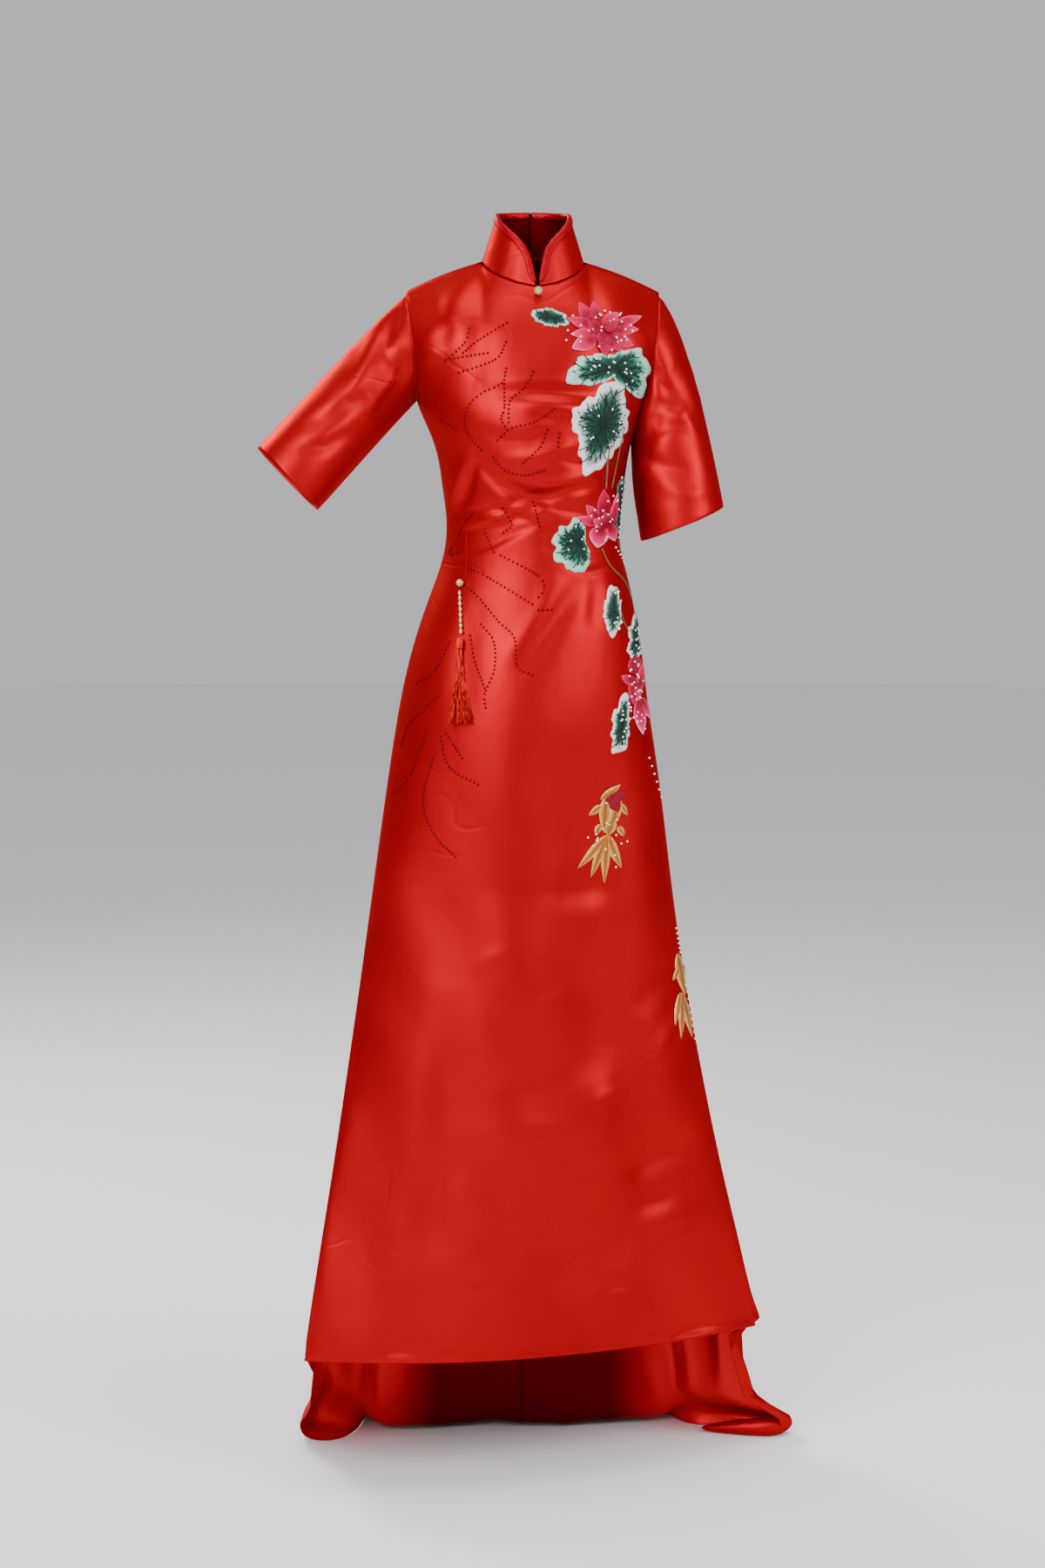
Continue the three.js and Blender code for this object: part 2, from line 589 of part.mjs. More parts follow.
// Closed wall between an outer and an inner grid; a closed grid joins its last column to its first.
function wall(outer, inner, closed = false) {
  const rows = outer.length;
  const columns = outer[0].length;
  const positions = [...outer.flat(), ...inner.flat()].flatMap((p) => p.toArray());
  const index = [];
  const at = (layer, i, j) => layer * rows * columns + i * columns + (j % columns);
  const quad = (a, b, c, d) => index.push(a, b, c, a, c, d);
  const spans = closed ? columns : columns - 1;
  for (let i = 0; i < rows - 1; i += 1) {
    for (let j = 0; j < spans; j += 1) {
      quad(at(0, i, j), at(0, i, j + 1), at(0, i + 1, j + 1), at(0, i + 1, j));
      quad(at(1, i, j), at(1, i + 1, j), at(1, i + 1, j + 1), at(1, i, j + 1));
    }
  }
  for (let j = 0; j < spans; j += 1) {
    quad(at(0, 0, j), at(1, 0, j), at(1, 0, j + 1), at(0, 0, j + 1));
    quad(at(0, rows - 1, j), at(0, rows - 1, j + 1), at(1, rows - 1, j + 1), at(1, rows - 1, j));
  }
  for (let i = 0; !closed && i < rows - 1; i += 1) {
    quad(at(0, i, 0), at(0, i + 1, 0), at(1, i + 1, 0), at(1, i, 0));
    quad(at(0, i, spans), at(1, i, spans), at(1, i + 1, spans), at(0, i + 1, spans));
  }
  return facingOut(geometryOf(positions, index));
}

function geometryOf(positions, index) {
  const geometry = new THREE.BufferGeometry();
  geometry.setAttribute('position', new THREE.Float32BufferAttribute(positions, 3));
  geometry.setIndex(index);
  return geometry;
}

// Turns a closed geometry's faces round where they point inwards.
function facingOut(geometry) {
  const p = geometry.getAttribute('position');
  const index = Array.from(geometry.index.array);
  const [a, b, c] = [new THREE.Vector3(), new THREE.Vector3(), new THREE.Vector3()];
  let volume = 0;
  for (let i = 0; i < index.length; i += 3) {
    a.fromBufferAttribute(p, index[i]);
    b.fromBufferAttribute(p, index[i + 1]);
    c.fromBufferAttribute(p, index[i + 2]);
    volume += a.dot(b.cross(c));
  }
  if (volume < 0) {
    for (let i = 0; i < index.length; i += 3) [index[i], index[i + 1]] = [index[i + 1], index[i]];
    geometry.setIndex(index);
  }
  return geometry;
}

// ---- Joining and cutting ------------------------------------------------------------------------
// Welds a three.js geometry's shared vertices and makes it a manifold.
function toManifold(geometry) {
  const p = geometry.getAttribute('position');
  const source = geometry.index ? geometry.index.array : Array.from({ length: p.count }, (_, i) => i);
  const seen = new Map();
  const vertices = [];
  const place = (i) => {
    const values = [p.getX(i), p.getY(i), p.getZ(i)];
    const key = values.map((value) => Math.round(value * 1e4)).join(',');
    if (!seen.has(key)) {
      seen.set(key, seen.size);
      vertices.push(...values);
    }
    return seen.get(key);
  };
  const triangles = [];
  for (let i = 0; i < source.length; i += 3) {
    const corner = [place(source[i]), place(source[i + 1]), place(source[i + 2])];
    if (new Set(corner).size === 3) triangles.push(...corner);
  }
  const mesh = new wasm.Mesh({
    numProp: 3,
    vertProperties: new Float32Array(vertices),
    triVerts: new Uint32Array(triangles),
  });
  return new wasm.Manifold(mesh);
}

function fromManifold(solid) {
  const mesh = solid.getMesh();
  return geometryOf(Array.from(mesh.vertProperties), Array.from(mesh.triVerts));
}

const unite = (solids) => solids.reduce((whole, solid) => whole.add(solid));

const dress = new THREE.Group();

function addPiece(name, geometry, colour) {
  const mesh = new THREE.Mesh(geometry, new THREE.MeshStandardMaterial(COLOURS[colour]));
  mesh.name = name;
  dress.add(mesh);
  return mesh;
}

// ---- Panels -------------------------------------------------------------------------------------
const frontPoints = frontGrid();
const backPoints = backGrid();
const front = { points: frontPoints, normals: gridNormals(frontPoints, -1) };
const back = { points: backPoints, normals: gridNormals(backPoints, 1) };
shareNormals(front, back);

function panelWall(panel, firstColumn, lastColumn, edges) {
  const cut = (grid) => grid.map((row) => row.slice(firstColumn, lastColumn + 1));
  const outer = drawIn(cut(panel.points), edges);
  return wall(outer, offset(outer, cut(panel.normals), -CLOTH));
}

const allEdges = { first: true, last: true, top: true };
addPiece('front_panel', panelWall(front, 0, 2 * HALF_COLUMNS, allEdges), 'satin');
addPiece('back_left', panelWall(back, 0, HALF_COLUMNS, allEdges), 'satin');
addPiece('back_right', panelWall(back, HALF_COLUMNS, 2 * HALF_COLUMNS, allEdges), 'satin');

// ---- Sleeves: each column runs from the armhole to the cuff -------------------------------------
// The armhole as a ring: up its front edge from the armpit, then down its back edge.
function armhole(side) {
  const column = side < 0 ? 0 : 2 * HALF_COLUMNS;
  const inner = side < 0 ? 1 : 2 * HALF_COLUMNS - 1;
  const ring = [];
  const take = (panel, i) => ring.push({
    point: panel.points[i][column],
    normal: panel.normals[i][column],
    way: panel.points[i][column].clone().sub(panel.points[i][inner]).normalize(),
  });
  for (let i = YOKE_ROWS; i >= 0; i -= 1) take(front, i);
  for (let i = 1; i < YOKE_ROWS; i += 1) take(back, i);
  return ring;
}

function sleeveGrid(sleeve) {
  const ring = armhole(sleeve.side);
  const cuff = vector(sleeve.cuff);
  const under = vector(sleeve.under).normalize();
  const forward = vector(sleeve.front).normalize();
  const axis = vector(sleeve.axis).normalize();
  const columns = ring.map((edge, j) => {
    const turn = (2 * Math.PI * j) / ring.length;
    const top = (1 - Math.cos(turn)) / 2;
    const way = vector(sleeve.underWay).lerp(vector(sleeve.topWay), top).normalize();
    const start = edge.point.clone().addScaledVector(edge.way, SEAM_GAP).addScaledVector(way, SEAM_GAP);
    const end = cuff.clone()
      .addScaledVector(under, sleeve.wide * Math.cos(turn))
      .addScaledVector(forward, sleeve.deep * Math.sin(turn));
    const reach = THREE.MathUtils.lerp(sleeve.underStart, sleeve.topStart, top);
    const close = THREE.MathUtils.lerp(sleeve.underEnd, sleeve.topEnd, top);
    return new THREE.CubicBezierCurve3(
      start, start.clone().addScaledVector(way, reach), end.clone().addScaledVector(axis, -close), end,
    );
  });
  return Array.from({ length: SLEEVE_ROWS + 1 }, (_, i) => columns.map((c) => c.getPoint(i / SLEEVE_ROWS)));
}

// Moves a sleeve's points out or in by its folds, which fade out at the armhole.
function foldSleeve(grid, normals, folds) {
  return grid.map((row, i) => row.map((point, j) => {
    const along = i / (grid.length - 1);
    const around = j / row.length;
    const height = folds.reduce((sum, fold) => {
      const round = Math.abs(around - fold.around);
      const a = Math.min(round, 1 - round) / fold.spanAround;
      const b = (along - fold.along) / fold.spanAlong;
      return sum + fold.height * Math.exp(-a * a - b * b);
    }, 0);
    return point.clone().addScaledVector(normals[i][j], height * smooth(along * 6));
  }));
}

function buildSleeve(sleeve) {
  const flat = sleeveGrid(sleeve);
  const grid = foldSleeve(flat, gridNormals(flat, -sleeve.side, true), SLEEVE_FOLDS[sleeve.name]);
  const normals = gridNormals(grid, -sleeve.side, true);
  armhole(sleeve.side).forEach((edge, j) => {
    const top = (1 - Math.cos((2 * Math.PI * j) / grid[0].length)) / 2;
    normals[0][j].lerp(edge.normal, smooth(2 * top)).normalize();
  });
  addPiece(sleeve.name, wall(grid, offset(grid, normals, -CLOTH), true), 'satin');
}
SLEEVES.forEach(buildSleeve);

// ---- Stand collar and its binding ---------------------------------------------------------------
// The collar's seam follows the neckline's straight stretches between the panel's columns.
function collarSeam(turn) {
  const facing = turn <= 90 ? -1 : 1;
  const column = (facing < 0 ? turn : 180 - turn) / (90 / NECK_COLUMNS);
  const low = Math.min(NECK_COLUMNS - 1, Math.floor(column));
  return neckPoint(facing, low).lerp(neckPoint(facing, low + 1), column - low);
}

function collarPoint(side, turn, height) {
  const seam = collarSeam(turn);
  const angle = THREE.MathUtils.degToRad(turn);
  const middle = (COLLAR_TOP.front + COLLAR_TOP.back) / 2;
  const depth = (COLLAR_TOP.back - COLLAR_TOP.front) / 2;
  const smoothSeamZ = THREE.MathUtils.lerp(NECK.frontZ, NECK.backZ, (1 - Math.cos(angle)) / 2);
  const top = new THREE.Vector3(
    COLLAR_TOP.width * Math.sin(angle),
    middle - depth * Math.cos(angle),
    Math.max(seam.z, smoothSeamZ) + COLLAR_HEIGHT,
  );
  const point = seam.clone().lerp(top, height / COLLAR_HEIGHT);
  return new THREE.Vector3(side * point.x, point.y, point.z + SEAM_GAP);
}

function collarNormal(side, turn, height) {
  const step = 1;
  const next = collarPoint(side, Math.min(179.9, turn + step), height);
  const along = next.sub(collarPoint(side, Math.max(0.1, turn - step), height));
  const up = collarPoint(side, turn, COLLAR_HEIGHT).sub(collarPoint(side, turn, 0));
  return along.cross(up).multiplyScalar(side).normalize();
}

function collarHalf(side) {
  const heights = Array.from({ length: COLLAR_ROWS + 1 }, (_, i) => 1 - i / COLLAR_ROWS);
  const place = (make) => heights.map(
    (part) => COLLAR_EDGE.map((edge) => make(side, edge.turn, edge.height * part)),
  );
  const outer = place(collarPoint);
  return wall(outer, offset(outer, place(collarNormal), -CLOTH));
}

// A strip folded over the collar's edge, with one leg outside the collar and one inside.
function bindingStrip(side) {
  const edge = COLLAR_EDGE.map((row) => collarPoint(side, row.turn, row.height));
  const last = edge.length - 1;
  const rings = edge.map((point, i) => {
    const along = edge[Math.min(last, i + 1)].clone().sub(edge[Math.max(0, i - 1)]).normalize();
    const normal = collarNormal(side, COLLAR_EDGE[i].turn, COLLAR_EDGE[i].height);
    const out = normal.clone().cross(along).multiplyScalar(side).normalize();
    const corner = (reach, lift) => point.clone().addScaledVector(out, reach).addScaledVector(normal, lift);
    const { width, cloth, gap } = BINDING;
    const leg = -Math.min(width, COLLAR_EDGE[i].height * BINDING.cover);
    return [
      corner(leg, cloth + gap), corner(cloth + gap, cloth + gap), corner(cloth + gap, -CLOTH - cloth - gap),
      corner(leg, -CLOTH - cloth - gap), corner(leg, -CLOTH - gap), corner(gap, -CLOTH - gap),
      corner(gap, gap), corner(leg, gap),
    ];
  });
  return sweep(rings, [[0, 1, 6, 7], [1, 2, 5, 6], [2, 3, 4, 5]]);
}

// Closed solid through rings of corners; caps lists the quads that close its two ends.
function sweep(rings, caps) {
  const count = rings[0].length;
  const index = [];
  for (let i = 0; i < rings.length - 1; i += 1) {
    for (let j = 0; j < count; j += 1) {
      const [a, b] = [i * count + j, i * count + ((j + 1) % count)];
      index.push(a, b, b + count, a, b + count, a + count);
    }
  }
  const end = (rings.length - 1) * count;
  for (const [a, b, c, d] of caps) {
    index.push(a, c, b, a, d, c);
    index.push(end + a, end + b, end + c, end + a, end + c, end + d);
  }
  return facingOut(geometryOf(rings.flat().flatMap((p) => p.toArray()), index));
}

for (const [side, hand] of [[-1, 'left'], [1, 'right']]) {
  addPiece(`collar_${hand}`, collarHalf(side), 'satin');
  addPiece(`collar_binding_${hand}`, bindingStrip(side), 'binding');
}

// ---- Applique: a skin over the front panel, cut to the outline of each motif --------------------
const frontOuter = drawIn(front.points, allEdges);
const skin = toManifold(wall(
  offset(frontOuter, front.normals, APPLIQUE.gap + APPLIQUE.thickness),
  offset(frontOuter, front.normals, APPLIQUE.gap),
));

// A lens with one end at the origin, extruded from in front of the dress to its middle.
function petalPrism(petal, grow = 0) {
  const shape = new THREE.Shape();
  const { steps, lean, fullness } = PETAL;
  const length = petal.length + 2 * grow;
  const edge = (t) => (petal.width / 2 + grow) * Math.sin(Math.PI * t ** lean) ** fullness;
  shape.moveTo(-grow, 0);
  for (let i = 1; i < steps; i += 1) shape.lineTo((length * i) / steps - grow, edge(i / steps));
  shape.lineTo(length - grow, 0);
  for (let i = steps - 1; i > 0; i -= 1) shape.lineTo((length * i) / steps - grow, -edge(i / steps));
  const prism = new THREE.ExtrudeGeometry(shape, { depth: PETAL.reach, bevelEnabled: false });
  prism.rotateZ(THREE.MathUtils.degToRad(petal.turn));
  prism.rotateX(Math.PI / 2);
  prism.translate(petal.x, 0, petal.z);
  return toManifold(prism);
}

function motifColour(name) {
  if (name.startsWith('leaf')) return 'leaf';
  return name.startsWith('lotus') ? 'petal' : 'gold';
}

// Each motif is cut back from those before it, which lie on top where they meet.
let taken = null;
for (const motif of MOTIFS) {
  const whole = skin.intersect(unite(motif.petals.map((petal) => petalPrism(petal))));
  const cut = taken ? whole.subtract(taken) : whole;
  const largest = cut.decompose().sort((a, b) => b.volume() - a.volume())[0];
  addPiece(motif.name, fromManifold(largest), motifColour(motif.name));
  const grown = unite(motif.petals.map((petal) => petalPrism(petal, APPLIQUE.between)));
  taken = taken ? taken.add(grown) : grown;
}

// ---- Button, bead drop and tassel, which lie against the front ----------------------------------
// Place on the front panel at a height, and the way out of it there.
function onFront(x, z) {
  const point = (px, pz) => {
    if (pz > ARMPIT_Z) return yokeAt(px, pz);
    const middle = (level('right', pz) - level('left', pz)) / 2;
    return bodyPoint(-1, (px - middle) / ((level('left', pz) + level('right', pz)) / 2), pz);
  };
  const here = point(x, z);
  const out = point(x + 1, z).sub(here).cross(point(x, z + 1).sub(here)).normalize();
  return { point: here, out };
}

// The yoke's middle columns, at a height above the armpit.
function yokeAt(x, z) {
  const v = (z - ARMPIT_Z) / (NECK.frontZ - ARMPIT_Z);
  const near = yokePoint(-1, 0, v);
  return new THREE.Vector3(x, near.y, z);
}

function ball(name, size, colour) {
  const { point, out } = onFront(size.x, size.z);
  const mesh = addPiece(name, new THREE.SphereGeometry(size.radius, ROUND.around, ROUND.up), colour);
  mesh.position.copy(point).addScaledVector(out, size.radius + SEAM_GAP);
}
ball('button', BUTTON, 'pearl');
ball('drop_big_bead', BIG_BEAD, 'pearl');

// Turned solid between two places, from radii along its length.
function turned(name, profile, from, to, facets, colour) {
  const length = from.distanceTo(to);
  const outline = [[0, 0], ...profile.map(([part, radius]) => [radius, part * length]), [0, length]];
  const geometry = new THREE.LatheGeometry(outline.map(([r, y]) => new THREE.Vector2(r, y)), facets);
  const mesh = addPiece(name, geometry, colour);
  mesh.position.copy(from);
  mesh.quaternion.setFromUnitVectors(new THREE.Vector3(0, 1, 0), to.clone().sub(from).normalize());
}

function beadString() {
  const profile = [];
  const pitch = 1 / STRING.beads;
  for (let i = 0; i < STRING.beads; i += 1) {
    STRING_OUTLINE.forEach(({ at, part }) => profile.push([(i + at) * pitch, STRING[part]]));
  }
  const hang = (z) => {
    const { point, out } = onFront(STRING.x, z);
    return point.addScaledVector(out, STRING.bead + SEAM_GAP);
  };
  turned('drop_bead_string', profile, hang(STRING.top), hang(STRING.bottom), STRING.facets, 'metal');
}
beadString();

// A strand of the tassel as a three-sided rod through a few sections.
function strand(path) {
  const rings = path.map((place, i) => {
    const radius = THREE.MathUtils.lerp(STRAND.root, STRAND.tip, i / (path.length - 1));
    return Array.from({ length: STRAND.sides }, (_, k) => {
      const turn = (2 * Math.PI * k) / STRAND.sides;
      return place.clone().add(new THREE.Vector3(radius * Math.cos(turn), radius * Math.sin(turn), 0));
    });
  });
  const index = [];
  for (let i = 0; i < rings.length - 1; i += 1) {
    for (let k = 0; k < STRAND.sides; k += 1) {
      const [a, b] = [i * STRAND.sides + k, i * STRAND.sides + ((k + 1) % STRAND.sides)];
      index.push(a, b, b + STRAND.sides, a, b + STRAND.sides, a + STRAND.sides);
    }
  }
  const end = (rings.length - 1) * STRAND.sides;
  index.push(0, 2, 1, end, end + 1, end + 2);
  return toManifold(facingOut(geometryOf(rings.flat().flatMap((p) => p.toArray()), index)));
}

// The tassel hangs flat against the skirt: a turned head with the strands' roots fused in it.
function tassel() {
  const headBottom = TASSEL.top - TASSEL.head;
  const lie = (x, z, lift) => {
    const { point, out } = onFront(x, z);
    return point.addScaledVector(out, lift);
  };
  const middle = lie(TASSEL.x, TASSEL.top - TASSEL.head / 2, TASSEL.headRadius + TASSEL.headLift);
  const outline = TASSEL_HEAD.map((row) => new THREE.Vector2(row.radius, row.up));
  const head = new THREE.LatheGeometry(outline, ROUND.around);
  head.rotateX(Math.PI / 2);
  head.translate(middle.x, middle.y, headBottom);
  const solids = [toManifold(facingOut(head))];
  for (let i = 0; i < TASSEL.strands; i += 1) {
    const turn = i * Math.PI * (3 - Math.sqrt(5));
    const reach = Math.sqrt((i + 0.5) / TASSEL.strands);
    const [a, b] = [reach * Math.cos(turn), reach * Math.sin(turn)];
    const rootReach = TASSEL.headRadius - STRAND.inside;
    const [rootX, rootY] = [middle.x + a * rootReach, middle.y + b * rootReach];
    const path = [new THREE.Vector3(rootX, rootY, headBottom + STRAND.sink)];
    for (let s = 1; s <= STRAND.steps; s += 1) {
      const t = s / STRAND.steps;
      const shorter = 1 - STRAND.uneven * Math.abs(Math.sin(i * STRAND.beat));
      const x = TASSEL.x + a * THREE.MathUtils.lerp(TASSEL.headRadius, TASSEL.spread, t ** STRAND.flare);
      const z = headBottom - (TASSEL.length - TASSEL.head) * t * shorter;
      path.push(lie(x, z, STRAND.lift + TASSEL.depth * (1 - b) * (1 - STRAND.flatter * t)));
    }
    solids.push(strand(path));
  }
  addPiece('tassel', fromManifold(unite(solids)), 'thread');
}
tassel();

// ---- Zip slider and pull tab at the top of the centre-back seam ---------------------------------
// Both are made lying on the plane z = 0 with the top at +y, then set on the collar.
function box(width, height, depth, x, y, z) {
  const geometry = new THREE.BoxGeometry(width, height, depth);
  geometry.translate(x, y, z);
  return toManifold(geometry);
}

function rodAcross(radius, length, y, z) {
  const geometry = new THREE.CylinderGeometry(radius, radius, length, ROUND.around);
  geometry.rotateZ(Math.PI / 2);
  geometry.translate(0, y, z);
  return toManifold(geometry);
}

function sliderSolid() {
  const reach = PULL.eyeWidth / 2 + SEAM_GAP;
  const parts = [box(SLIDER.width, SLIDER.height, SLIDER.thickness, 0, 0, SLIDER.thickness / 2)];
  for (const side of [-1, 1]) {
    const x = side * (reach + CHEEK.width / 2);
    parts.push(box(CHEEK.width, CHEEK.height, CHEEK.depth, x, 0, CHEEK.depth / 2));
  }
  parts.push(rodAcross(SLIDER.pin, 2 * reach + CHEEK.width, 0, SLIDER.pinLift));
  return unite(parts);
}

function pullSolid() {
  const shape = new THREE.Shape();
  const tip = PULL.length - PULL.width / 2;
  shape.moveTo(-PULL.eyeWidth / 2, 0);
  shape.lineTo(-PULL.width / 2, -tip);
  shape.absarc(0, -tip, PULL.width / 2, Math.PI, 2 * Math.PI, false);
  shape.lineTo(PULL.eyeWidth / 2, 0);
  const plate = new THREE.ExtrudeGeometry(shape, {
    depth: PULL.thickness,
    bevelEnabled: false,
    curveSegments: PULL.curveSegments,
  });
  plate.translate(0, 0, -PULL.thickness / 2);
  const whole = toManifold(plate).add(rodAcross(PULL.eye, PULL.eyeWidth, 0, 0));
  return whole.subtract(rodAcross(PULL.hole, PULL.eyeWidth + SEAM_GAP, 0, 0));
}

// The slider lies along the collar; the pull tab hangs from its pin and leans in towards the cloth.
function addZip() {
  const last = COLLAR_EDGE[COLLAR_EDGE.length - 1].turn;
  const seam = collarPoint(1, last, SLIDER.above);
  const up = collarPoint(1, last, COLLAR_HEIGHT).sub(seam).setX(0).normalize();
  const tilt = Math.atan2(-up.y, up.z);
  const set = (name, solid, lift, lean) => {
    const mesh = addPiece(name, fromManifold(solid).rotateY(Math.PI), 'metal');
    mesh.rotation.x = Math.PI / 2 + tilt - lean;
    mesh.position.set(0, seam.y + up.z * lift, seam.z - up.y * lift);
  };
  set('zip_slider', sliderSolid(), SEAM_GAP, 0);
  set('zip_pull_tab', pullSolid(), SEAM_GAP + SLIDER.pinLift, THREE.MathUtils.degToRad(PULL.lean));
}
addZip();

export default dress;
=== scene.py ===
import math

import bmesh
import bpy
import numpy as np
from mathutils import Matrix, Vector
from mathutils.bvhtree import BVHTree
from mathutils.kdtree import KDTree


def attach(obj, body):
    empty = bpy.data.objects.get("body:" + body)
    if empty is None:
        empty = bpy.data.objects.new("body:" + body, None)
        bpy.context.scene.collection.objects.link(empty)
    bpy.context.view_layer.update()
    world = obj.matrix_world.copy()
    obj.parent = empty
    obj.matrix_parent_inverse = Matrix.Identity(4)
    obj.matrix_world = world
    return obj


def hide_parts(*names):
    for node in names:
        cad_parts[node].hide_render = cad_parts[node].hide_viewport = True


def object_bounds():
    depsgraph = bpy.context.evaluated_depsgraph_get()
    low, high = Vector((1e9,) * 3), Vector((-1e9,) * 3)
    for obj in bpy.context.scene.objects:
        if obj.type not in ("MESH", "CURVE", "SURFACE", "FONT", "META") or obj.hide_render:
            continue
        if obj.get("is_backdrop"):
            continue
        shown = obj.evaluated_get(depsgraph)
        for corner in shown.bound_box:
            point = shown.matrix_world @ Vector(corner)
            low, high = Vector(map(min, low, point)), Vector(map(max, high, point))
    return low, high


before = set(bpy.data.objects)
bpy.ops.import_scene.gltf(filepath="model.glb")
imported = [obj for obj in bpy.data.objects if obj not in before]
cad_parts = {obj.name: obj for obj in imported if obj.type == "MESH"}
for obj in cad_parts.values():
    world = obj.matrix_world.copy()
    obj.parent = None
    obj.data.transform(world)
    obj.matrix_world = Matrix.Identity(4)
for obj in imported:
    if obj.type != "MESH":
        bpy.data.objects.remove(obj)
cad_low, cad_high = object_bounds()

# ---- Where the dress stands --------------------------------------------------------------------
# A pale round floor under a pale sky of studio light, with one large soft light at the front left,
# weaker ones at the right and lower down, and others above and behind. The train rests on the floor.
FLOOR = cad_low[2]
FLOOR_REACH = 14.0
FLOOR_RIM = 0.4

bpy.ops.object.select_all(action="DESELECT")
bpy.ops.mesh.primitive_circle_add(vertices=96, radius=FLOOR_REACH, fill_type="NGON", location=(0, 0, FLOOR))
floor = bpy.context.object
floor.name = "studio_floor"
bpy.ops.object.transform_apply(location=True, rotation=True, scale=True)
bpy.ops.object.mode_set(mode="EDIT")
bpy.ops.mesh.select_all(action="SELECT")
bpy.ops.mesh.inset(thickness=FLOOR_RIM, depth=0)
bpy.ops.object.mode_set(mode="OBJECT")

paper = bpy.data.materials.new("studio_paper")
paper.use_nodes = True
paper.node_tree.nodes["Principled BSDF"].inputs["Base Color"].default_value = (0.92, 0.9, 0.91, 1)
paper.node_tree.nodes["Principled BSDF"].inputs["Roughness"].default_value = 0.85
floor.data.materials.append(paper)
floor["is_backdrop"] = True


def soft_light(name, place, size, power, aim=(0, 0, -0.6)):
    """A square studio light that faces a point of the dress."""
    bpy.ops.object.light_add(type="AREA", location=place)
    lamp = bpy.context.object
    lamp.name = name
    lamp.data.size = size
    lamp.data.energy = power
    lamp.rotation_euler = (Vector(aim) - Vector(place)).to_track_quat("-Z", "Y").to_euler()


soft_light("light_front_left", (-1.7, -2.9, 1.2), 2.2, 118, aim=(0, 0, -0.3))
soft_light("light_front_right", (2.2, -2.0, 0.6), 1.6, 66, aim=(0, 0, -0.25))
soft_light("light_front_low", (-1.2, -3.2, 0.1), 1.8, 18, aim=(0, 0, -0.8))
soft_light("light_above", (0.2, -0.4, 2.4), 1.8, 50, aim=(0, 0, -0.4))
soft_light("light_behind", (-1.8, 2.4, 1.5), 1.5, 100, aim=(0, 0.1, -0.7))

studio_air = bpy.data.worlds.new("studio_air")
studio_air.use_nodes = True
studio_air.node_tree.nodes["Background"].inputs["Color"].default_value = (0.93, 0.91, 0.95, 1)
studio_air.node_tree.nodes["Background"].inputs["Strength"].default_value = 0.62
bpy.context.scene.world = studio_air

# The camera stands in front, a little to the left, at chest height, and looks slightly down. Its
# lens is given for the long side of a 1200 by 1800 picture.
CAMERA = {"turn": -5.0, "down": 5.9, "height": 1.32, "away": 4.2, "lens": 76.0, "aside": 0.0133}

camera = bpy.data.objects.new("camera", bpy.data.cameras.new("camera"))
bpy.context.scene.collection.objects.link(camera)
turn = math.radians(CAMERA["turn"])
ahead = Vector((-math.sin(turn), math.cos(turn), 0))
aside = Vector((math.cos(turn), math.sin(turn), 0))
camera.location = -ahead * CAMERA["away"] - aside * CAMERA["aside"]
camera.location.z = FLOOR + CAMERA["height"]
camera.rotation_euler = (math.pi / 2 - math.radians(CAMERA["down"]), 0, turn)
camera.data.sensor_width = 36
camera.data.lens = CAMERA["lens"]
bpy.context.scene.camera = camera

# ---- Satin -------------------------------------------------------------------------------------
# Heavy red duchess satin: smooth long floats of silk over a fine twill back, so that the light
# runs along it in broad soft pools, tinted red, with slight unevenness from wear and pressing. The
# inside is lined in dark red, darkened further as painted shade of the hollow under the hem, with a
# facing of the satin along the sides painted lighter than the satin itself, as painted light.
MM = 0.001


class Tone:
    """A shader socket that takes part in sums, as a number does."""

    def __init__(self, tree, socket):
        self.tree = tree
        self.socket = socket

    def add(self, kind, settings=None, sockets=None, out=0):
        """Adds a node of a type, with its settings, then its sockets' values or links."""
        node = self.tree.nodes.new(kind)
        for key, value in (settings or {}).items():
            if key == "stops":
                ramp = node.color_ramp
                while len(ramp.elements) < len(value):
                    ramp.elements.new(0.5)
                for element, (place, colour) in zip(ramp.elements, value):
                    element.position = place
                    element.color = (*colour, 1)
            else:
                setattr(node, key, value)
        for key, value in (sockets or {}).items():
            if isinstance(value, Tone):
                self.tree.links.new(value.socket, node.inputs[key])
            else:
                node.inputs[key].default_value = value
        return Tone(self.tree, node.outputs[out])

    def maths(self, operation, *values):
        return self.add("ShaderNodeMath", {"operation": operation}, dict(enumerate(values)))

    def __add__(self, other):
        return self.maths("ADD", self, other)

    def __sub__(self, other):
        return self.maths("SUBTRACT", self, other)

    def __rsub__(self, other):
        return self.maths("SUBTRACT", other, self)

    def __mul__(self, other):
        return self.maths("MULTIPLY", self, other)

    __radd__ = __add__
    __rmul__ = __mul__

    def size(self):
        """How far this value is from 0."""
        return self.maths("ABSOLUTE", self)

    def part(self, number):
        """One of the three numbers of a coordinate."""
        return self.add("ShaderNodeSeparateXYZ", {}, {0: self}, out=number)

    def ramp(self, *stops):
        """A colour that follows this value through (place, colour) stops."""
        return self.add("ShaderNodeValToRGB", {"stops": stops}, {"Fac": self})

    def soft_step(self, low, high):
        """0 below low, 1 above high, and smooth between them."""
        ends = {"Value": self, "From Min": low, "From Max": high}
        return self.add("ShaderNodeMapRange", {"interpolation_type": "SMOOTHSTEP"}, ends)

    def mixed(self, first, second):
        """The first colour where this value is 0, and the second where it is 1."""
        ends = {0: self, 6: first, 7: second}
        return self.add("ShaderNodeMix", {"data_type": "RGBA"}, ends, out=2)

    def noise(self, scale, detail=2.0, stretch=(1, 1, 1)):
        """Cloudy noise on these coordinates."""
        spread = self.add("ShaderNodeMapping", {}, {"Vector": self, "Scale": stretch})
        return self.add("ShaderNodeTexNoise", {}, {"Vector": spread, "Scale": scale, "Detail": detail})


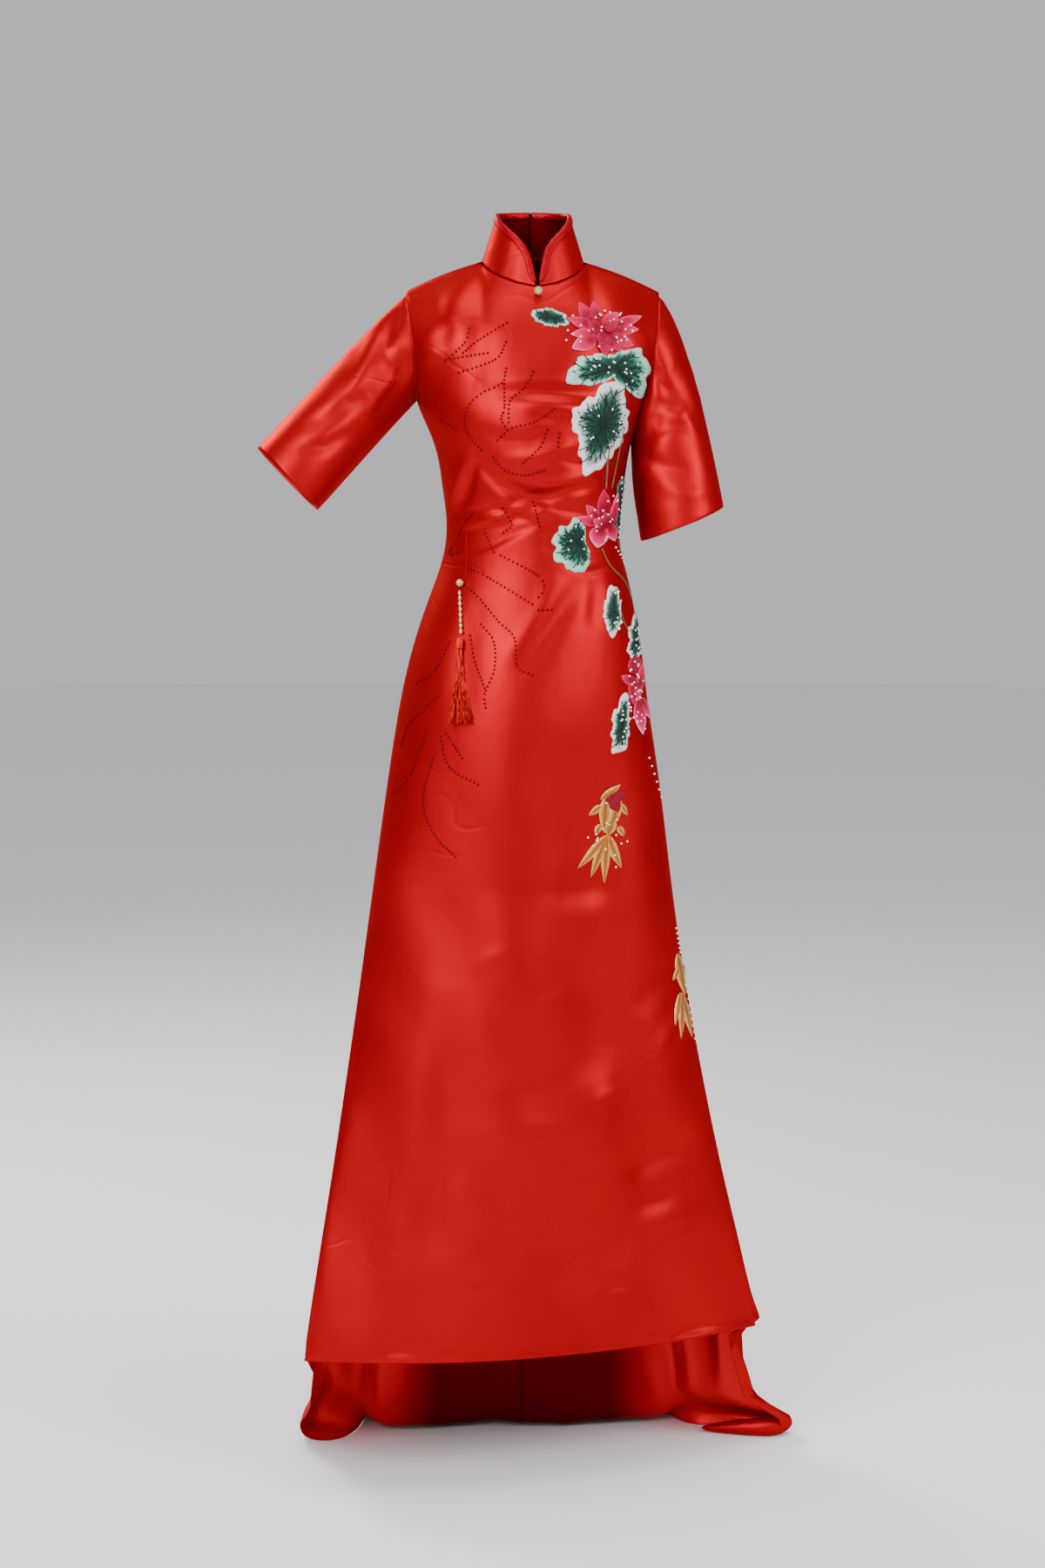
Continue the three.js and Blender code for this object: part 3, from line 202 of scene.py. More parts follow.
class Finish:
    """A material with one Principled shader, whose fixed values are set on its own sockets."""

    def __init__(self, name, **fixed):
        self.material = bpy.data.materials.new(name)
        self.material.use_nodes = True
        self.tree = self.material.node_tree
        self.shader = self.tree.nodes["Principled BSDF"]
        for key, value in fixed.items():
            self.shader.inputs[key.replace("_", " ").title().replace("Ior", "IOR")].default_value = value
        place = self.tree.nodes.new("ShaderNodeTexCoord")
        self.here = Tone(self.tree, place.outputs["Object"])
        self.across = Tone(self.tree, place.outputs["UV"])

    def feed(self, **tones):
        """Links what changes over the surface to the shader."""
        for key, tone in tones.items():
            self.tree.links.new(tone.socket, self.shader.inputs[key.replace("_", " ").title()])

    def bump(self, height, distance, strength=1.0):
        """Raises the surface by a height of 0 to 1, in metres."""
        ends = {"Height": height, "Distance": distance, "Strength": strength}
        self.feed(normal=height.add("ShaderNodeBump", {}, ends))

    def wear(self, piece):
        piece.data.materials.clear()
        piece.data.materials.append(self.material)


TWILL = 420.0
satin = Finish(
    "red_satin", metallic=0.85, roughness=0.4, specular_ior_level=0.1, specular_tint=(1, 0.1, 0.14, 1)
)
cloudy = satin.here.noise(7.0, 3.0)
satin.feed(base_color=cloudy.mixed((0.3, 0.0018, 0.006, 1), (0.44, 0.0032, 0.01, 1)))
satin.feed(roughness=satin.here.noise(16.0, 2.0) * 0.12 + 0.39)
diagonal = {"wave_type": "BANDS", "bands_direction": "DIAGONAL"}
twill = satin.here.add("ShaderNodeTexWave", diagonal, {"Vector": satin.here, "Scale": TWILL})
ripple = satin.here.noise(26.0, 2.0, (1, 1, 0.5))
crinkle = satin.here.noise(75.0, 2.0, (1, 1, 0.35))
field = satin.here.noise(9.0, 1.0, (1, 1, 1.5)) - 0.5
pressed = (1 - field.size().soft_step(0.0, 0.03)) * satin.here.noise(4.5).soft_step(0.5, 0.62)
satin.bump(twill * 0.012 + ripple + crinkle * 0.25 - pressed * 0.3, 1.8 * MM, 0.42)

lined_inside_and_shade = Finish(
    "dark_red_lined_inside_painted_shade", metallic=0.6, roughness=0.42, specular_ior_level=0.1, specular_tint=(1, 0.15, 0.15, 1)
)
weave = lined_inside_and_shade.here.noise(240.0, 2.0)
# Painted light and shade: the inside is painted near black in the middle as painted shade under the hem, and
# brighter than the satin towards the sides as painted light on the loose ends.
facing_and_painted_light = lined_inside_and_shade.here.part(0).size().soft_step(0.11, 0.2)
lined_inside_and_shade_colour = weave.mixed((0.07, 0.0006, 0.002, 1), (0.12, 0.001, 0.003, 1))
lined_inside_and_shade.feed(base_color=facing_and_painted_light.mixed(lined_inside_and_shade_colour, (0.55, 0.006, 0.014, 1)))
lined_inside_and_shade.bump(weave + lined_inside_and_shade.here.noise(18.0), 0.6 * MM, 0.5)

# ---- Front panel -------------------------------------------------------------------------------
# The whole front in one width of satin, with bust and waist darts, sewn to the backs and sleeves
# with its edges turned in. It keeps the pulls of the bust and waist and the soft falls of the skirt.
WALL = 2 * MM
# Heights of the bust and hip rows, how low the train bends, and how straight down an edge must run.
ROWS = {"bust": -0.12, "hip": -0.42, "bend": 0.05, "straight": 0.7}
TURN = 0.3  # Below this height the backs turn over into the train.
CLOTH = {"thick": 0.7 * MM, "sunk": 0.35 * MM, "held": 14 * MM, "seam": 1.2 * MM}


def pick_only(obj):
    """Makes one object the only one selected, and active."""
    bpy.ops.object.select_all(action="DESELECT")
    obj.select_set(True)
    bpy.context.view_layer.objects.active = obj


def use(piece, kind, **settings):
    """Adds a modifier to a piece and applies it."""
    pick_only(piece)
    modifier = piece.modifiers.new(kind.lower(), kind)
    for key, value in settings.items():
        setattr(modifier, key, value)
    bpy.ops.object.modifier_apply(modifier=modifier.name)


def smooth(piece):
    """Shades a piece smoothly."""
    pick_only(piece)
    bpy.ops.object.shade_smooth()


def belong(piece, node=None):
    """Makes a piece part of the dress, and in place of a node if one is named."""
    if node:
        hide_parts(node)
    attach(piece, "dress")


def merged_copy(name, node):
    """A new piece with a node's shape, its loose triangles joined up."""
    piece = bpy.data.objects.new(name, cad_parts[node].data.copy())
    piece.data.materials.clear()
    bpy.context.scene.collection.objects.link(piece)
    pick_only(piece)
    bpy.ops.object.mode_set(mode="EDIT")
    bpy.ops.mesh.select_all(action="SELECT")
    bpy.ops.mesh.remove_doubles(threshold=1e-5)
    bpy.ops.object.mode_set(mode="OBJECT")
    return piece


def sheets_of(mesh):
    """The groups of faces of a mesh that hang together."""
    left = set(mesh.faces)
    sheets = []
    while left:
        sheet = {left.pop()}
        front = list(sheet)
        while front:
            beside = {f for e in front.pop().edges for f in e.link_faces if f in left}
            left -= beside
            sheet |= beside
            front += beside
        sheets.append(sheet)
    return sheets


def outer_skin(name, node):
    """The outside of a panel's solid, as a skin of quads without rims."""
    piece = merged_copy(name, node)
    skin = bmesh.new()
    skin.from_mesh(piece.data)
    rims = [f for f in skin.faces if any(abs(e.calc_length() - WALL) < 0.01 * MM for e in f.edges)]
    bmesh.ops.delete(skin, geom=rims, context="FACES")
    sheets = sorted(sheets_of(skin), key=len)[-2:]
    high = [v.co for v in skin.verts if v.co.z > FLOOR + TURN]
    middle = sum(high, Vector()) / len(high)
    outwards = [
        sum(
            f.calc_area() * f.normal.dot(f.calc_center_median() - middle)
            for f in sheet
            if f.calc_center_median().z > FLOOR + TURN
        )
        for sheet in sheets
    ]
    outer = sheets[outwards.index(max(outwards))]
    bmesh.ops.delete(skin, geom=[f for f in skin.faces if f not in outer], context="FACES")
    skin.to_mesh(piece.data)
    skin.free()
    pick_only(piece)
    bpy.ops.object.mode_set(mode="EDIT")
    bpy.ops.mesh.select_all(action="SELECT")
    bpy.ops.mesh.tris_convert_to_quads(face_threshold=math.pi, shape_threshold=math.pi)
    bpy.ops.object.mode_set(mode="OBJECT")
    return piece


def add_rows(piece):
    """Cuts rows of the bodice in two and of the skirt and train in three, for narrow folds."""
    skin = bmesh.new()
    skin.from_mesh(piece.data)
    rows = {1: [], 2: []}
    for edge in skin.edges:
        upper, lower = (v.co for v in edge.verts)
        way, middle = (lower - upper).normalized(), (upper + lower) / 2
        along = way.z if middle.z > FLOOR + ROWS["bend"] else way.y
        if middle.z < ROWS["bust"] and abs(along) > ROWS["straight"]:
            rows[1 if middle.z > ROWS["hip"] else 2].append(edge)
    for cuts, edges in rows.items():
        bmesh.ops.subdivide_edges(skin, edges=edges, cuts=cuts)
    skin.to_mesh(piece.data)
    skin.free()


def places(piece):
    """The points of a piece and their normals, as arrays."""
    points = np.empty(len(piece.data.vertices) * 3)
    normals = np.empty(len(piece.data.vertices) * 3)
    piece.data.vertices.foreach_get("co", points)
    piece.data.vertices.foreach_get("normal", normals)
    return points.reshape(-1, 3), normals.reshape(-1, 3)


def put(piece, points):
    """Moves the points of a piece to new places."""
    piece.data.vertices.foreach_set("co", points.ravel())
    piece.data.update()


def eased(share):
    """A share of 0 to 1 that starts and ends gently."""
    return share * share * (3 - 2 * share)


def freedom(piece, facing):
    """How far each point may move: nothing at the seams, and all of it on the side that faces.

    The side faces -y where facing is -1 and +y where it is 1, and 0 takes every side.
    """
    skin = bmesh.new()
    skin.from_mesh(piece.data)
    sewn = [v.co.copy() for v in skin.verts if v.is_boundary]
    skin.free()
    rim = KDTree(len(sewn))
    for number, place in enumerate(sewn):
        rim.insert(place, number)
    rim.balance()
    away = np.array([rim.find(v.co)[2] for v in piece.data.vertices])
    _, normals = places(piece)
    free = np.clip(away / CLOTH["held"], 0, 1)
    side = np.clip(0.15 + 1.8 * facing * normals[:, 1], 0, 1) if facing else 1
    return eased(free) * side


def crease(piece, folds, facing=-1, plan=(0, 2)):
    """Moves a skin in or out along soft troughs and ridges, which fade out at their ends.

    Each fold is a width, a height and a line of places, all in millimetres. The places are (x, z)
    as seen from the front, or (x, y) as seen from above where the plan is (0, 1).
    """
    points, normals = places(piece)
    flat = points[:, plan] / MM
    side = freedom(piece, facing)
    lift = np.zeros(len(points))
    for wide, high, *line in folds:
        line = np.array(line, float)
        steps = np.linalg.norm(np.diff(line, axis=0), axis=1)
        nearest = np.full(len(points), 1e9)
        share = np.zeros(len(points))
        done = 0
        for a, b, step in zip(line, line[1:], steps):
            t = np.clip(((flat - a) @ (b - a)) / step**2, 0, 1)
            away = np.linalg.norm(flat - a - t[:, None] * (b - a), axis=1)
            share = np.where(away < nearest, (done + t * step) / steps.sum(), share)
            nearest = np.minimum(away, nearest)
            done += step
        fade = np.sin(np.pi * np.clip(share, 0.02, 0.98)) ** 0.7
        lift += high * fade * np.exp(-((nearest / wide) ** 2))
    points += normals * (lift * side * MM)[:, None]
    put(piece, points)


def sway(piece, waves, top, full, facing=-1):
    """Adds the soft falls of hanging cloth: waves that grow from a height down to another."""
    points, normals = places(piece)
    x, z = points[:, 0] / MM, points[:, 2] / MM
    side = freedom(piece, facing)
    grown = np.clip((top - z) / (top - full), 0, 1)
    lift = sum(high * np.sin(2 * np.pi * (x * cx + z * cz) + turn) for cx, cz, turn, high in waves)
    points += normals * (lift * side * grown * MM)[:, None]
    put(piece, points)


def join_seams(pieces):
    """Brings the edges of panels that are sewn to each other together, drawn in as a seam is."""
    edges = []
    for piece in pieces:
        skin = bmesh.new()
        skin.from_mesh(piece.data)
        edges += [(piece, v.index, v.co.copy(), v.normal.copy()) for v in skin.verts if v.is_boundary]
        skin.free()
    rim = KDTree(len(edges))
    for number, (_, _, place, _) in enumerate(edges):
        rim.insert(place, number)
    rim.balance()
    for piece, index, place, normal in edges:
        for _, number, _ in rim.find_range(place, CLOTH["seam"]):
            other, _, other_place, other_normal = edges[number]
            if other is not piece:
                place = (place + other_place) / 2
                normal = (normal + other_normal).normalized()
                break
        piece.data.vertices[index].co = place - normal * CLOTH["sunk"]


def sew(piece, node, finish=satin, thick=CLOTH["thick"]):
    finish.wear(piece)
    piece.data.materials.append(lined_inside_and_shade.material)
    use(piece, "SOLIDIFY", thickness=thick, offset=-1, use_rim=True, material_offset=1)
    smooth(piece)
    belong(piece, node)


# Width, height and line of each fold of the front, in millimetres.
FRONT_FOLDS = [
    (14, 3.0, (-70, 1), (-107, -44), (-146, -108)),
    (11, -3.6, (-129, -30), (-115, -69), (-125, -98)),
    (9, 2.2, (-148, -114), (-116, -92)),
    (16, 2.6, (-84, -134), (-26, -137), (42, -134)),
    (10, -5.0, (-62, -150), (-4, -147), (65, -152), (92, -150)),
    (10, 3.4, (-32, -163), (12, -166), (60, -172)),
    (9, -3.0, (-16, -178), (18, -181), (60, -180)),
    (12, -3.4, (-71, -203), (-43, -215), (-16, -218), (24, -200), (60, -196)),
    (10, 3.6, (-38, -230), (7, -226), (44, -213)),
    (10, -5.2, (-86, -213), (-59, -243), (-26, -268), (14, -283), (60, -289)),
    (9, -5.2, (-109, -327), (-47, -311), (-3, -288), (31, -271), (75, -258)),
    (8, -3.2, (-96, -342), (-47, -324), (-8, -303)),
    (9, 5.2, (-14, -270), (31, -259), (80, -248)),
    (9, 5.0, (-30, -299), (14, -287), (70, -274)),
    (8, 4.2, (-89, -229), (-99, -260), (-111, -298)),
    (7, -3.5, (-80, -229), (-86, -260), (-96, -298)),
    (8, -3.0, (-130, -240), (-121, -273), (-112, -300)),
    (9, 2.8, (-46, -243), (-15, -256), (19, -260)),
    (3.2, -1.4, (-1, -308), (20, -308)),
    (3.0, -1.2, (1, -316), (19, -315)),
    (3.4, -1.5, (-2, -323), (20, -323)),
    (3.0, -1.2, (2, -331), (21, -330)),
    (3.2, -1.4, (1, -338), (20, -337)),
    (3.0, -1.1, (4, -345), (22, -343)),
    (15, -4.0, (61, -368), (43, -398), (20, -428), (-22, -491)),
    (11, -3.2, (68, -374), (72, -399), (66, -446)),
    (14, 3.0, (26, -372), (4, -420), (-50, -486)),
    (18, -2.6, (-70, -400), (-92, -470), (-96, -560)),
    (60, 9.0, (-24, -760), (-40, -959), (-24, -1160)),
    (20, -4.6, (14, -764), (60, -768), (104, -757)),
    (26, -4.0, (-100, -1026), (-2, -1005), (89, -983)),
    (22, 3.6, (-112, -1073), (21, -1070), (70, -1082)),
    (18, -4.0, (100, -1136), (160, -1115), (215, -1108)),
    (14, -3.4, (130, -1181), (184, -1168)),
    (16, 3.8, (142, -1006), (200, -927)),
    (20, -3.4, (120, -930), (176, -868)),
    (9, -2.6, (-211, -1352), (-156, -1332)),
    (10, 2.6, (-156, -1352), (-102, -1330)),
    (9, -2.4, (107, -1350), (160, -1336)),
    (10, -2.8, (172, -1360), (233, -1343)),
    (22, 4.0, (40, -1250), (75, -1100), (86, -960)),
    (22, -4.6, (90, -1260), (130, -1160), (150, -1060)),
    (26, -4.0, (-150, -1240), (-120, -1040), (-104, -880)),
    (24, 3.2, (-190, -1300), (-168, -1120), (-140, -900)),
    (4.5, -2.7, (-100, -300), (-52, -292), (-8, -276), (36, -262)),
    (4.5, -2.4, (-104, -352), (-60, -338), (-20, -318), (10, -306)),
    (5, -2.7, (-60, -262), (-20, -276), (22, -292), (64, -300)),
    (4.5, 2.4, (-96, -318), (-50, -304), (-10, -290)),
    (5, -2.7, (20, -232), (58, -238), (92, -234)),
    (4.5, -2.2, (40, -366), (64, -372), (92, -366)),
    (6, -2.6, (-72, -196), (-44, -206), (-14, -206), (16, -192), (46, -188)),
    (5, -2.4, (-90, -222), (-62, -254), (-30, -280), (6, -294)),
    (5, -2.2, (-6, -236), (26, -228), (62, -222)),
    (5, -2.2, (-70, -284), (-38, -300), (-4, -308)),
    (5, 2.0, (-64, -232), (-36, -256), (-4, -272)),
    (7, -1.8, (-60, -1186), (-34, -1166), (-4, -1158)),
    (7, 1.7, (-34, -1236), (-8, -1214), (26, -1204)),
    (8, -1.9, (24, -1144), (46, -1128), (84, -1120)),
    (8, -1.8, (-142, -1154), (-122, -1126), (-98, -1112)),
    (7, 1.6, (56, -1046), (80, -1030), (112, -1026)),
    (7, -1.6, (146, -1236), (168, -1216), (196, -1208)),
    (8, -1.7, (-24, -906), (0, -890), (34, -886)),
    (8, 1.5, (-86, -868), (-64, -846), (-38, -838)),
    (7, -1.5, (60, -1290), (92, -1276), (128, -1278)),
    (8, 1.6, (-120, -1290), (-90, -1268), (-52, -1262)),
]
# Waves per millimetre across and up, phase and height.
FRONT_FALLS = [(0.0052, 0.0011, 0.6, 2.2), (0.0031, -0.0034, 2.4, 1.8), (0.0088, 0.0048, 4.0, 0.9)]

front = outer_skin("front_satin", "front_panel")
use(front, "SUBSURF", levels=2, render_levels=2, boundary_smooth="PRESERVE_CORNERS")
add_rows(front)
sway(front, FRONT_FALLS, top=-520, full=-900)
crease(front, FRONT_FOLDS)

# ---- Back panels and train ---------------------------------------------------------------------
# Two halves that join at the centre back under the zip, fall to the floor and run out as a short
# train, with the loose ends rolled into soft puddles at both sides.
BACK_FOLDS = {
    "back_left": [
        (10, -3.3, (-88, -150), (-40, -162), (-8, -158)),
        (10, 2.7, (-80, -178), (-36, -188), (-6, -182)),
        (9, -3.3, (-92, -226), (-50, -244), (-10, -236)),
        (9, -3.0, (-84, -268), (-44, -290), (-8, -292)),
        (9, 3.0, (-90, -252), (-46, -266), (-8, -262)),
        (12, -2.7, (-74, -330), (-30, -404)),
        (10, 3.4, (-78, -346), (-40, -372), (-8, -378)),
        (9, -3.6, (-88, -306), (-48, -338), (-8, -350)),
        (18, -6.0, (-96, -500), (-112, -860), (-136, -1290)),
        (20, 7.0, (-58, -440), (-66, -900), (-82, -1380)),
        (17, -6.4, (-30, -640), (-36, -1000), (-44, -1420)),
        (15, 5.2, (-130, -760), (-160, -1100), (-184, -1330)),
        (9, 3.0, (-30, -200), (-46, -120), (-74, -70)),
    ],
    "back_right": [
        (10, -3.0, (8, -150), (46, -166), (90, -154)),
        (9, 2.4, (6, -196), (44, -202), (84, -190)),
        (9, -3.3, (10, -228), (48, -246), (92, -238)),
        (9, -2.7, (8, -284), (42, -296), (86, -276)),
        (9, 3.0, (8, -258), (46, -272), (88, -258)),
        (12, -2.4, (30, -400), (72, -336)),
        (9, 3.2, (10, -366), (46, -350), (82, -322)),
        (10, -3.6, (10, -332), (50, -322), (88, -300)),
        (18, -5.4, (104, -560), (122, -900), (140, -1280)),
        (21, 6.6, (62, -470), (82, -880), (96, -1360)),
        (16, -6.0, (28, -600), (34, -1040), (46, -1430)),
        (15, 5.0, (142, -820), (168, -1120), (190, -1320)),
        (9, -2.8, (36, -190), (52, -120), (82, -80)),
    ],
}
# Ridges of the train on the floor, as seen from above, and how its tip is rounded.
TRAIN_FOLDS = {
    "back_left": [
        (15, 10.0, (-40, 120), (-50, 290), (-36, 450)), (13, 8.0, (-92, 140), (-110, 290), (-104, 430)),
        (10, 6.0, (-72, 350), (-76, 440), (-58, 530)), (12, 9.0, (-146, 150), (-156, 250), (-138, 380)),
    ],
    "back_right": [
        (14, 9.0, (32, 130), (48, 330), (40, 490)), (12, 9.0, (80, 125), (104, 270), (98, 400)),
        (11, 8.0, (136, 160), (154, 270), (138, 410)), (9, 5.5, (66, 400), (70, 480), (50, 560)),
    ],
}
TIP = {"from": 450, "reach": 190, "drop": 30, "spread": 36}
BACK_FALLS = [(0.0056, 0.0012, 1.4, 2.4), (0.0034, -0.003, 0.4, 1.8)]

# Folds of the loose ends behind the hem, and how far the side edges fall in below it.
END_FOLDS = {
    "back_left": [
        (12, -5.0, (-146, -1372), (-160, -1440), (-166, -1506)),
        (9, 4.5, (-186, -1372), (-200, -1440), (-196, -1512)),
        (8, -4.0, (-222, -1380), (-234, -1446), (-226, -1500)),
        (14, 3.4, (-96, -1380), (-104, -1500)),
    ],
    "back_right": [
        (12, -4.6, (140, -1372), (164, -1440), (186, -1510)),
        (9, 4.5, (196, -1372), (222, -1440), (232, -1506)),
        (8, -4.2, (244, -1380), (256, -1446), (262, -1496)),
        (14, 3.2, (84, -1376), (98, -1500)),
    ],
}
DRAWN_IN = {"back_left": 14, "back_right": -40}
DRAW = {"start": -1351, "full": -1378, "ease": -1462, "end": -1506, "inner": 170, "outer": 270}


def draw_in(half, reach):
    """Lets a side edge fall in between the front's hem and the floor."""
    points, _ = places(half)
    x, z = np.abs(points[:, 0]) / MM, points[:, 2] / MM
    down = np.clip((DRAW["start"] - z) / (DRAW["start"] - DRAW["full"]), 0, 1)
    up = np.clip((z - DRAW["end"]) / (DRAW["ease"] - DRAW["end"]), 0, 1)
    out = np.clip((x - DRAW["inner"]) / (DRAW["outer"] - DRAW["inner"]), 0, 1)
    points[:, 0] += reach * eased(down) * eased(up) * eased(out) * MM
    put(half, points)


def round_tip(half):
    """Rounds the corner that the train's two halves make at the centre seam."""
    points, _ = places(half)
    share = np.clip((points[:, 1] / MM - TIP["from"]) / TIP["reach"], 0, 1)
    points[:, 1] -= TIP["drop"] * share**2 * np.exp(-((points[:, 0] / MM / TIP["spread"]) ** 2)) * MM
    put(half, points)


backs = {}
for node, folds in BACK_FOLDS.items():
    half = outer_skin(node + "_satin", node)
    use(half, "SUBSURF", levels=2, render_levels=2, boundary_smooth="PRESERVE_CORNERS")
    add_rows(half)
    sway(half, BACK_FALLS, top=-520, full=-900, facing=1)
    crease(half, folds, facing=1)
    crease(half, END_FOLDS[node], facing=0)
    crease(half, TRAIN_FOLDS[node], facing=0, plan=(0, 1))
    draw_in(half, DRAWN_IN[node])
    round_tip(half)
    backs[node] = half
join_seams([front, *backs.values()])
sew(front, "front_panel")
sew(backs["back_left"], "back_left")
sew(backs["back_right"], "back_right")

body = (front, *backs.values())
corners = []
sides = []
for piece in body:
    start = len(corners)
    corners += [v.co.copy() for v in piece.data.vertices]
    sides += [[start + i for i in p.vertices] for p in piece.data.polygons]
cloth = BVHTree.FromPolygons(corners, sides)

# The right-hand loose end is rolled under itself: middles of the roll and its radius there.
ROLL = [
    ((236, 104, -1524), 3.0), ((262, 94, -1521), 7.0), ((292, 84, -1518), 10.5), ((318, 79, -1516.5), 12.5),
    ((335, 79, -1516), 13.0), ((343, 81, -1516.5), 10.5), ((348, 83, -1517), 5.5), ((349.5, 84, -1517), 1.0),
]
ROUND = 24
SLANT = 0.25


def join_hoops(mesh, hoops):
    """Joins rings of points to a tube and closes both of its ends."""
    for first, second in zip(hoops, hoops[1:]):
        for k in range(len(first)):
            mesh.faces.new((first[k - 1], first[k], second[k], second[k - 1]))
    mesh.faces.new(hoops[0])
    mesh.faces.new(hoops[-1][::-1])


def piece_from(name, mesh):
    """A new piece from an edit mesh, with its faces turned outwards."""
    bmesh.ops.recalc_face_normals(mesh, faces=mesh.faces)
    piece = bpy.data.objects.new(name, bpy.data.meshes.new(name))
    bpy.context.scene.collection.objects.link(piece)
    mesh.to_mesh(piece.data)
    mesh.free()
    return piece


roll = bmesh.new()
hoops = []
for place, reach in ROLL:
    hoop = []
    for k in range(ROUND):
        a = 2 * math.pi * k / ROUND
        way = Vector((SLANT * math.sin(a), math.cos(a), math.sin(a)))
        hoop.append(roll.verts.new(Vector(place) * MM + way * reach * MM))
    hoops.append(hoop)
join_hoops(roll, hoops)
train_roll = piece_from("train_roll", roll)
use(train_roll, "SUBSURF", levels=2, render_levels=2)
smooth(train_roll)
satin.wear(train_roll)
belong(train_roll)

# ---- Sleeves -----------------------------------------------------------------------------------
# Elbow-length set-in sleeves, cut in one piece each with an underarm seam and a plain turned hem.
# One hangs straight and one is lifted out by the bent arm, and both keep the pulls of the arm.
SLEEVE_FOLDS = {
    "sleeve_left": [
        (9, -3.6, (-168, -40), (-190, -92), (-182, -120)),
        (10, 3.3, (-196, -70), (-216, -120), (-236, -160)),
        (10, -3.6, (-212, -150), (-250, -176), (-290, -190)),
        (9, -3.0, (-232, -196), (-262, -216), (-300, -220)),
        (8, 2.7, (-170, -122), (-196, -150), (-214, -180)),
        (7, -2.4, (-160, -112), (-178, -136)),
    ],
    "sleeve_right": [
        (8, -3.4, (142, -108), (160, -138), (176, -158)),
        (8, -2.7, (150, -198), (172, -190), (195, -194)),
        (9, 2.2, (150, -172), (176, -176), (204, -168)),
        (8, -2.5, (190, -160), (206, -186), (219, -206)),
        (9, -2.2, (131, -228), (160, -240), (190, -246)),
        (9, 1.8, (150, -262), (190, -276), (224, -270)),
        (10, 2.2, (186, -60), (206, -110), (214, -150)),
    ],
}
# The straight sleeve's inner side falls towards the body below the armpit.
INWARD = {"reach": 11, "top": -95, "full": -190, "foot": -345, "inner": 168, "outer": 205}


def fall_inwards(sleeve):
    """Lets the inner side of a straight sleeve fall towards the body."""
    points, _ = places(sleeve)
    x, z = points[:, 0] / MM, points[:, 2] / MM
    down = np.clip((INWARD["top"] - z) / (INWARD["top"] - INWARD["full"]), 0, 1)
    back = np.clip((z - INWARD["foot"]) / (INWARD["full"] - INWARD["foot"]), 0.25, 1)
    near = np.clip((INWARD["outer"] - x) / (INWARD["outer"] - INWARD["inner"]), 0, 1)
    points[:, 0] -= INWARD["reach"] * eased(down) * back * eased(near) * MM
    put(sleeve, points)


SEAM = {"reach": 4.0, "radius": 1.1, "sides": 6}


def seam_cord(name, piece):
    """The seam that joins a piece to the body, as a slim roll of satin along the piece's edge."""
    skin = bmesh.new()
    skin.from_mesh(piece.data)
    joined = {}
    for edge in skin.edges:
        if edge.is_boundary and all(cloth.find_nearest(v.co)[3] < SEAM["reach"] * MM for v in edge.verts):
            for vert in edge.verts:
                joined.setdefault(vert, []).append(edge.other_vert(vert))
    ends = [vert for vert, others in joined.items() if len(others) == 1]
    vert = (ends or list(joined))[0]
    line = []
    while vert and vert not in line:
        line.append(vert)
        vert = next((other for other in joined[vert] if other not in line), None)
    if not ends:
        line.append(line[0])
    path = []
    for vert in line:
        between = (vert.co + cloth.find_nearest(vert.co)[0]) / 2
        path.append(between - vert.normal * SEAM["radius"] / 2 * MM)
    cord = bmesh.new()
    hoops = []
    for i, (vert, place) in enumerate(zip(line, path)):
        way = path[min(i + 1, len(path) - 1)] - path[max(i - 1, 0)]
        out = vert.normal.copy()
        beside = way.cross(out).normalized()
        hoops.append([
            cord.verts.new(place + (out * math.cos(a) + beside * math.sin(a)) * SEAM["radius"] * MM)
            for a in (2 * math.pi * k / SEAM["sides"] for k in range(SEAM["sides"]))
        ])
    join_hoops(cord, hoops)
    skin.free()
    seam = piece_from(name, cord)
    smooth(seam)
    satin.wear(seam)
    belong(seam)


for node, folds in SLEEVE_FOLDS.items():
    sleeve = outer_skin(node + "_satin", node)
    use(sleeve, "SUBSURF", levels=3, render_levels=3, boundary_smooth="PRESERVE_CORNERS")
    if node == "sleeve_right":
        fall_inwards(sleeve)
    crease(sleeve, folds)
    crease(sleeve, folds[1::2], facing=1)
    join_seams([sleeve])
    seam_cord(node.replace("sleeve", "armhole_seam"), sleeve)
    sew(sleeve, node)

# ---- Collar and its bound edge -----------------------------------------------------------------
# A stiffened stand collar in two halves with rounded front corners, bound along the top and the
# fronts with a folded bias strip of the same satin.
collars = {node: outer_skin(node + "_satin", node) for node in ("collar_left", "collar_right")}
for half in collars.values():
    use(half, "SUBSURF", levels=3, render_levels=3, boundary_smooth="PRESERVE_CORNERS")
join_seams(list(collars.values()))
for node, half in collars.items():
    seam_cord(node.replace("collar", "neck_seam"), half)
    sew(half, node, thick=1.4 * MM)

bias = Finish(
    "red_bias_binding", metallic=0.6, roughness=0.42, specular_ior_level=0.15, specular_tint=(1, 0.1, 0.14, 1)
)
bias.feed(base_color=bias.here.noise(60.0, 2.0).mixed((0.24, 0.001, 0.006, 1), (0.34, 0.002, 0.01, 1)))
across_bias = bias.here.add("ShaderNodeTexWave", diagonal, {"Vector": bias.here, "Scale": 160.0})
bias.bump(across_bias * 0.4 + bias.here.noise(180.0), 0.25 * MM)
for node in ("collar_binding_left", "collar_binding_right"):
    strip = merged_copy(node + "_satin", node)
    use(strip, "SUBSURF", levels=1, render_levels=1)
    smooth(strip)
    bias.wear(strip)
    belong(strip, node)

